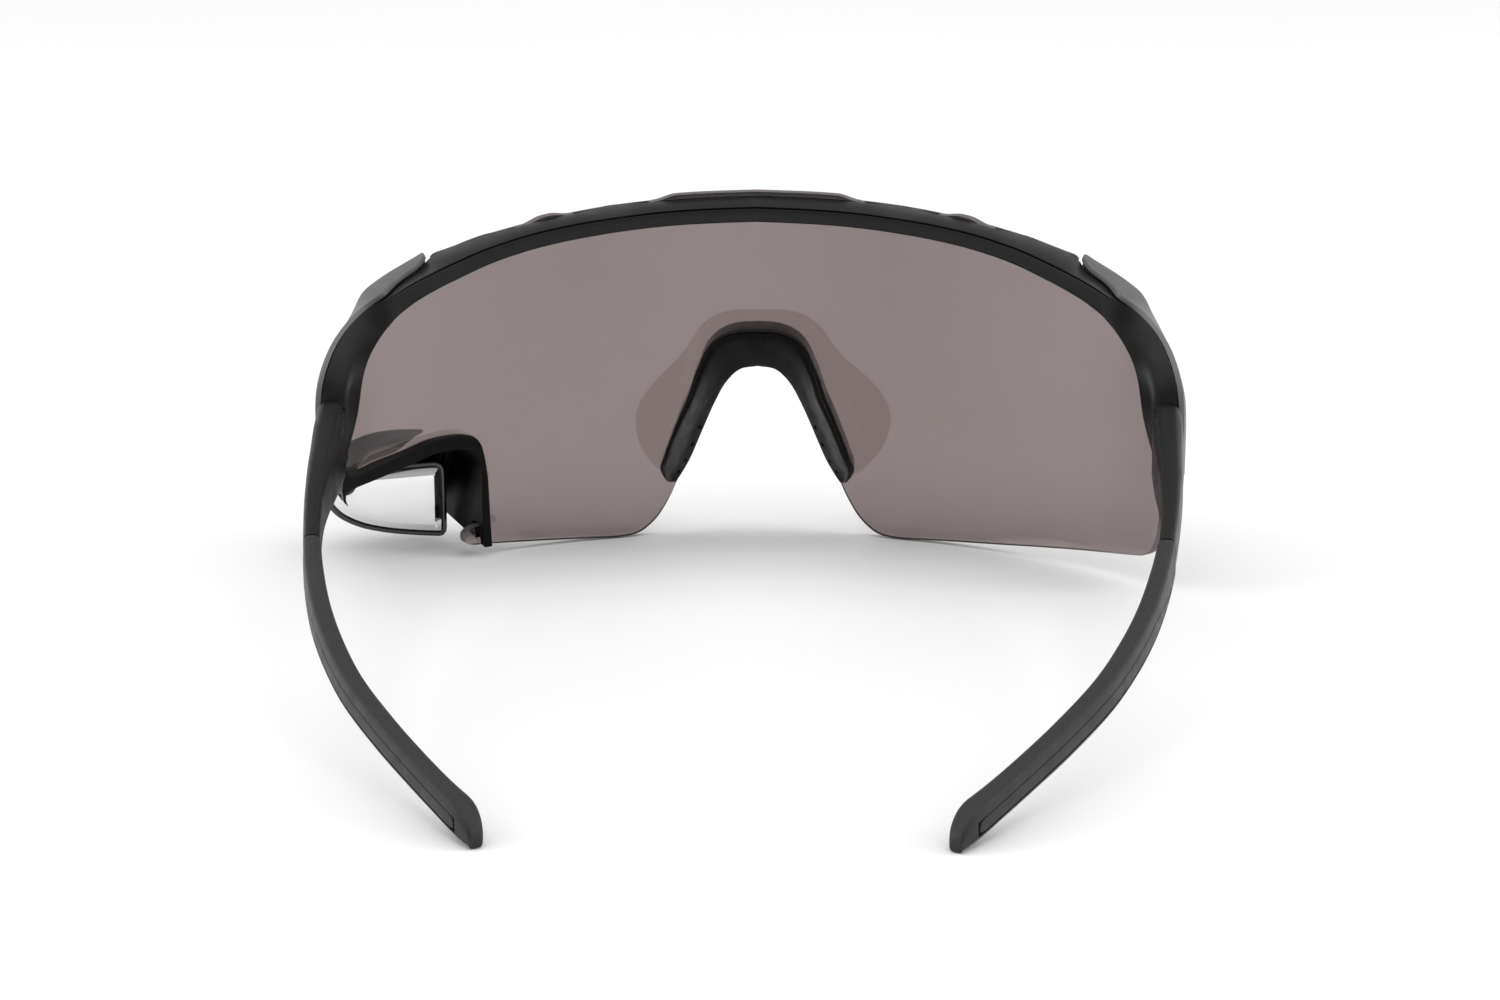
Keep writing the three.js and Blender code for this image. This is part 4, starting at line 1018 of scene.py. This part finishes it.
def smooth_arch(ring, count=72):
    """Evenly spaced points along a smooth curve through the arch's points."""
    knots = through([[i, *p] for i, p in enumerate(ring)])
    return [Vector(knots(lerp(0, len(ring) - 1, k / count))) for k in range(count + 1)]


def make_hood():
    """Two shells, outer and inner, joined by a rounded rim all the way round."""
    flange = [(0.0, -0.1, 0.9), (0.01, -0.2, 1.1), (0.09, -0.2, 1.1), (0.1, -0.1, 0.95), (0.104, 0.0, 0.0)]
    stations = [(0.104 + k / 14 * 0.896, 0.0, 0.0) for k in range(1, 15)]
    nose = [(1.0, 0.12 * math.sin(k / 5 * math.pi / 2), 2.6 * k / 5) for k in range(1, 6)]
    for k in range(1, 6):
        nose.append((1.0, lerp(0.12, 0.38, (k / 5) ** 1.5), lerp(2.6, 4.4, math.sin(k / 5 * math.pi / 2))))
    outer = [smooth_arch(hood_arch(share, inset, rise=rise)) for share, inset, rise in flange]
    outer += [smooth_arch(hood_arch(share, 0, close, ahead)) for share, close, ahead in stations + nose]
    inner = []
    for share, close, ahead in [(share, 0.0, 0.0) for share, _, _ in flange] + stations + nose:
        inner.append(smooth_arch(hood_arch(share, HOOD_WALL, close, ahead * 3.2 / 4.4)))
    width = len(outer[0])
    points = [p for ring in outer + inner for p in ring]
    rows = len(outer)
    faces = []
    for shell, flip in ((0, False), (rows * width, True)):
        for r in range(rows - 1):
            for i in range(width - 1):
                a = shell + r * width + i
                quad = [a, a + 1, a + 1 + width, a + width]
                faces.append(list(reversed(quad)) if flip else quad)
        closing = [shell + (rows - 1) * width + i for i in range(width)]
        faces.append(list(reversed(closing)) if flip else closing)
    back = rows * width
    for i in range(width - 1):
        faces.append([i + 1, i, back + i, back + i + 1])
    edge = width - 1
    for r in range(rows - 1):
        a, b = r * width, (r + 1) * width
        faces.append([a, b, back + b, back + a])
        faces.append([b + edge, a + edge, back + a + edge, back + b + edge])
    last = (rows - 1) * width
    faces.append([last, last + edge, back + last + edge, back + last])
    hood = make_object("hood_shell", points, faces, 40)
    soften(hood, 0.22)
    tongue = [(30, -4), (36.6, -4), (36.6, 3.4), (36.1, 5.0), (35.2, 5.6), (33.9, 5.9), (30, 5.9)]
    corner = [(50.2, 26), (50.2, 17.2), (50.9, 16.1), (52.2, 15.8), (54.0, 16.2), (54.0, 26)]
    slots = []
    for outline in (tongue, corner):
        slots.append(loft([[on_lens(a, z, out) for a, z in outline] for out in (-GAP, LENS_THICK + GAP)]))
    bore = pod_turned([(BALL_NECK + 0.15, -8), (BALL_NECK + 0.15, -12)])
    cut_with(hood, *slots, bore)
    tidy_mesh(hood, 38)
    return hood


def soften(obj, width_mm, angle=40):
    """Rounds a piece's hard edges."""
    step = obj.modifiers.new("soft_edges", "BEVEL")
    step.width = width_mm * 0.001
    step.segments = 3
    step.limit_method = "ANGLE"
    step.angle_limit = math.radians(angle)
    step.harden_normals = False
    apply_modifiers(obj)


# ---------------------------------------------------------------- materials
def material(name, gleam=0.5, metallic=0.0, ior=1.5):
    made = bpy.data.materials.new(name)
    made.use_nodes = True
    tree = made.node_tree
    tree.nodes.clear()
    out = tree.nodes.new("ShaderNodeOutputMaterial")
    shader = tree.nodes.new("ShaderNodeBsdfPrincipled")
    shader.inputs["Specular IOR Level"].default_value = gleam
    shader.inputs["Metallic"].default_value = metallic
    shader.inputs["IOR"].default_value = ior
    tree.links.new(shader.outputs["BSDF"], out.inputs["Surface"])
    return made, tree, shader


def noise(tree, scale, detail=4.0, roughness=0.5):
    where = tree.nodes.new("ShaderNodeTexCoord")
    made = tree.nodes.new("ShaderNodeTexNoise")
    made.inputs["Scale"].default_value = scale
    made.inputs["Detail"].default_value = detail
    made.inputs["Roughness"].default_value = roughness
    tree.links.new(where.outputs["Object"], made.inputs["Vector"])
    return made.outputs["Fac"]


def spread(tree, value, low, high, start=0.3, end=0.7):
    made = tree.nodes.new("ShaderNodeMapRange")
    made.inputs["From Min"].default_value = start
    made.inputs["From Max"].default_value = end
    made.inputs["To Min"].default_value = low
    made.inputs["To Max"].default_value = high
    tree.links.new(value, made.inputs["Value"])
    return made.outputs["Result"]


def tint(tree, shader, pattern, low, high, start=0.3, end=0.7):
    """A base colour that wanders between two tones with a pattern."""
    made = tree.nodes.new("ShaderNodeValToRGB")
    for element, position, tone in zip(made.color_ramp.elements, (start, end), (low, high)):
        element.position = position
        element.color = (*tone, 1)
    tree.links.new(pattern, made.inputs["Fac"])
    tree.links.new(made.outputs["Color"], shader.inputs["Base Color"])


def roughen(tree, shader, pattern, low, high):
    tree.links.new(spread(tree, pattern, low, high), shader.inputs["Roughness"])


def bump(tree, shader, height, distance_mm, strength):
    made = tree.nodes.new("ShaderNodeBump")
    made.inputs["Distance"].default_value = distance_mm * 0.001
    made.inputs["Strength"].default_value = strength
    tree.links.new(height, made.inputs["Height"])
    tree.links.new(made.outputs["Normal"], shader.inputs["Normal"])


def dimmed(tone, share):
    return tuple(c * share for c in tone)


def satin_plastic(name, tone, rough, grain_mm=0.02, gleam=0.28):
    """Injection-moulded black nylon with a fine spark-eroded grain and faint handling marks."""
    made, tree, shader = material(name, gleam)
    tint(tree, shader, noise(tree, 90, 3), dimmed(tone, 0.82), tone)
    roughen(tree, shader, noise(tree, 260, 5), rough - 0.05, rough + 0.07)
    bump(tree, shader, noise(tree, 5200, 3, 0.6), grain_mm, 0.5)
    return made


def gloss_plastic(name, tone, rough=0.24, gleam=0.2):
    made, tree, shader = material(name, gleam)
    tint(tree, shader, noise(tree, 60, 2), dimmed(tone, 0.8), tone)
    roughen(tree, shader, noise(tree, 120, 2), rough - 0.02, rough + 0.03)
    return made


def soft_rubber(name, tone, rough, grain_mm=0.05, sheen=0.06, gleam=0.3):
    """Overmoulded elastomer: dull, with a speckled grain and a soft sheen at grazing angles."""
    made, tree, shader = material(name, gleam)
    tint(tree, shader, noise(tree, 2600, 3, 0.65), dimmed(tone, 0.7), tone, 0.35, 0.65)
    roughen(tree, shader, noise(tree, 400, 4), rough - 0.06, rough + 0.08)
    shader.inputs["Sheen Weight"].default_value = sheen
    shader.inputs["Sheen Roughness"].default_value = 0.45
    bump(tree, shader, noise(tree, 3000, 4, 0.7), grain_mm, 0.7)
    return made


def smoke_lens(name):
    """Smoke polycarbonate, slightly warm, with a faint unevenness in its tint."""
    made, tree, shader = material(name, ior=1.585)
    tint(tree, shader, noise(tree, 14, 2), (0.21, 0.167, 0.164), (0.223, 0.179, 0.176))
    roughen(tree, shader, noise(tree, 700, 4), 0.012, 0.03)
    shader.inputs["Transmission Weight"].default_value = 1.0
    bump(tree, shader, noise(tree, 45, 2), 0.004, 0.12)
    return made


def ground_edge(name):
    """The lens's machined edge: matt, so it shows the tint instead of letting light through."""
    made, tree, shader = material(name, 0.3)
    tint(tree, shader, noise(tree, 900, 3), (0.11, 0.096, 0.094), (0.14, 0.124, 0.12))
    roughen(tree, shader, noise(tree, 1500, 3), 0.5, 0.62)
    return made


def silvered(name):
    made, tree, shader = material(name, metallic=1.0)
    tint(tree, shader, noise(tree, 40, 3), (0.9, 0.905, 0.905), (0.94, 0.945, 0.945))
    roughen(tree, shader, noise(tree, 800, 5), 0.015, 0.05)
    bump(tree, shader, noise(tree, 120, 2), 0.001, 0.1)
    return made


def turned_steel(name):
    made, tree, shader = material(name, metallic=1.0)
    where = tree.nodes.new("ShaderNodeTexCoord")
    rings = tree.nodes.new("ShaderNodeTexWave")
    rings.bands_direction = "Z"
    rings.inputs["Scale"].default_value = 3200
    rings.inputs["Distortion"].default_value = 0.6
    tree.links.new(where.outputs["Object"], rings.inputs["Vector"])
    tint(tree, shader, noise(tree, 300, 3), (0.5, 0.5, 0.51), (0.66, 0.66, 0.67))
    roughen(tree, shader, noise(tree, 900, 4), 0.22, 0.36)
    bump(tree, shader, rings.outputs["Fac"], 0.008, 0.4)
    return made


def floor_material():
    made, tree, shader = material("pale_floor", 0.25)
    tint(tree, shader, noise(tree, 3, 2), (0.93, 0.93, 0.93), (0.95, 0.95, 0.95))
    roughen(tree, shader, noise(tree, 20, 3), 0.5, 0.6)
    return made


SATIN = satin_plastic("satin_black", (0.006, 0.006, 0.0064), 0.34)
RAIL_SATIN = satin_plastic("rail_black", (0.01, 0.01, 0.0096), 0.42)
ARM_SATIN = satin_plastic("arm_black", (0.006, 0.006, 0.0066), 0.38)
POD_SATIN = satin_plastic("pod_black", (0.0012, 0.0012, 0.0012), 0.4, 0.02, 0.12)
# Painted highlight: the shoulder covers get a pale grey base instead of black, standing in for the bright
# reflection on their upper outer faces; from other sides they look paler than the rest of the frame.
COVER_PAINTED_HIGHLIGHT = satin_plastic("cover_painted_highlight", (0.13, 0.13, 0.131), 0.42, 0.02, 0.5)
GLOSS = gloss_plastic("gloss_black", (0.004, 0.004, 0.0044))
TRAY_GLOSS = gloss_plastic("tray_black", (0.004, 0.004, 0.0044), 0.1, 1.0)
RUBBER = soft_rubber("soft_rubber", (0.022, 0.022, 0.022), 0.5)
STRIP = soft_rubber("strip_rubber", (0.024, 0.024, 0.0235), 0.52, 0.035)
PAD = soft_rubber("pad_rubber", (0.004, 0.0038, 0.0036), 0.5, 0.03, 0.0, 0.08)
SMOKE = smoke_lens("smoke_lens")
GROUND_EDGE = ground_edge("ground_edge")
SILVER = silvered("mirror_silver")
STEEL = turned_steel("turned_steel")


# ---------------------------------------------------------------- assembly
def finish_piece(piece, look, slot, body, *nodes):
    piece.data.materials.clear()
    piece.data.materials.append(look)
    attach(piece, body)
    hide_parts(*nodes)
    return piece


lens = finish_piece(make_lens(), SMOKE, "smoke_lens", "front", "lens_shield")
lens.data.materials.append(GROUND_EDGE)
for face in lens.data.polygons:
    face.material_index = 1 if is_edge(face) else 0
finish_piece(make_frame(), SATIN, "satin_black", "front", "frame_front")
finish_piece(make_rail(), RAIL_SATIN, "satin_black", "front", "brow_rail")
finish_piece(make_carrier(), GLOSS, "gloss_black", "front", "nose_carrier")
nose_pad = finish_piece(make_pad(), PAD, "pad_rubber", "front", "nose_pad")
finish_piece(make_hood(), POD_SATIN, "satin_black", "front", "mirror_hood")
finish_piece(make_stud(), STEEL, "steel", "front", "mirror_ball_stud")
finish_piece(make_socket(), GLOSS, "gloss_black", "mirror_swivel", "mirror_socket")
finish_piece(make_tray(), TRAY_GLOSS, "gloss_black", "mirror", "mirror_tray")
finish_piece(make_glass(), SILVER, "mirror_face", "mirror", "mirror_glass")
for side in ("left", "right"):
    turning = "temple_" + side
    finish_piece(make_cover(side), COVER_PAINTED_HIGHLIGHT, "satin_black", "front", "shoulder_cover_" + side)
    finish_piece(make_screw(side), STEEL, "steel", "front", "hinge_screw_" + side)
    finish_piece(make_nut(side), STEEL, "steel", "front", "hinge_nut_" + side)
    finish_piece(make_arm(side), ARM_SATIN, "satin_black", turning, "temple_arm_" + side)
    finish_piece(make_sleeve(side), RUBBER, "soft_rubber", turning, "temple_sleeve_" + side)
    finish_piece(make_inlay(side), STRIP, "inlay_rubber", turning, "temple_inlay_" + side)


# ---------------------------------------------------------------- stage, light and camera
def make_floor():
    bpy.ops.mesh.primitive_plane_add(size=12, location=(0, 0, cad_low[2] - 0.00015))
    floor = bpy.context.object
    floor.name = "floor"
    floor.data.materials.append(floor_material())


WORLD_TOP, WORLD_REAR = 0.35, 0.4
TOP_WATTS, SIDE_WATTS = 32, 6


def area_light(name, place_m, aim_m, size, watts):
    data = bpy.data.lights.new(name, "AREA")
    data.shape = "RECTANGLE"
    data.size, data.size_y = size
    data.energy = watts
    lamp = bpy.data.objects.new(name, data)
    lamp.location = place_m
    lamp.rotation_euler = (Vector(aim_m) - Vector(place_m)).to_track_quat("-Z", "Y").to_euler()
    bpy.context.scene.collection.objects.link(lamp)


def light_studio():
    """A white room: bright low down in front and at the sides, darker overhead and behind the camera."""
    world = bpy.data.worlds.new("studio")
    world.use_nodes = True
    tree = world.node_tree
    back = tree.nodes["Background"]
    where = tree.nodes.new("ShaderNodeTexCoord")
    split = tree.nodes.new("ShaderNodeSeparateXYZ")
    tree.links.new(where.outputs["Generated"], split.inputs["Vector"])
    tall = spread(tree, split.outputs["Z"], 1.0, WORLD_TOP, 0.35, 0.6)
    behind = spread(tree, split.outputs["Y"], 1.0, WORLD_REAR, 0.1, 0.6)
    both = tree.nodes.new("ShaderNodeMath")
    both.operation = "MULTIPLY"
    tree.links.new(tall, both.inputs[0])
    tree.links.new(behind, both.inputs[1])
    tree.links.new(both.outputs["Value"], back.inputs["Strength"])
    back.inputs["Color"].default_value = (1, 1, 1, 1)
    bpy.context.scene.world = world
    area_light("top_softbox", (0.0, 0.25, 1.8), (0, 0.05, 0), (2.9, 2.4), TOP_WATTS)
    area_light("left_softbox", (1.3, 0.1, 0.7), (0, 0, 0.03), (0.6, 0.9), SIDE_WATTS)
    area_light("right_softbox", (-1.3, 0.0, 0.7), (0, 0, 0.03), (0.6, 0.9), SIDE_WATTS)


CAMERA_YAW, CAMERA_PITCH, CAMERA_ROLL = 2.578, 16.78, -0.465
CAMERA_PLACE = (-30.7, 676.5, 222.2)
CAMERA_LENS = 100


def make_camera():
    """Above and behind the open temples, looking forward into the lens's concave side."""
    yaw, pitch, roll = (math.radians(turn) for turn in (CAMERA_YAW, CAMERA_PITCH, CAMERA_ROLL))
    forward = Vector((math.sin(yaw) * math.cos(pitch), -math.cos(yaw) * math.cos(pitch), -math.sin(pitch)))
    right = Vector((-math.cos(yaw), -math.sin(yaw), 0))
    up = right.cross(forward)
    right, up = right * math.cos(roll) + up * math.sin(roll), up * math.cos(roll) - right * math.sin(roll)
    data = bpy.data.cameras.new("camera")
    data.lens = CAMERA_LENS
    data.sensor_width = 36
    data.clip_start = 0.05
    camera = bpy.data.objects.new("camera", data)
    turn = Matrix((right, up, -forward)).transposed().to_4x4()
    camera.matrix_world = Matrix.Translation(place(CAMERA_PLACE)) @ turn
    bpy.context.scene.collection.objects.link(camera)
    bpy.context.scene.camera = camera


make_floor()
light_studio()
make_camera()
bpy.context.scene.view_settings.view_transform = "Standard"
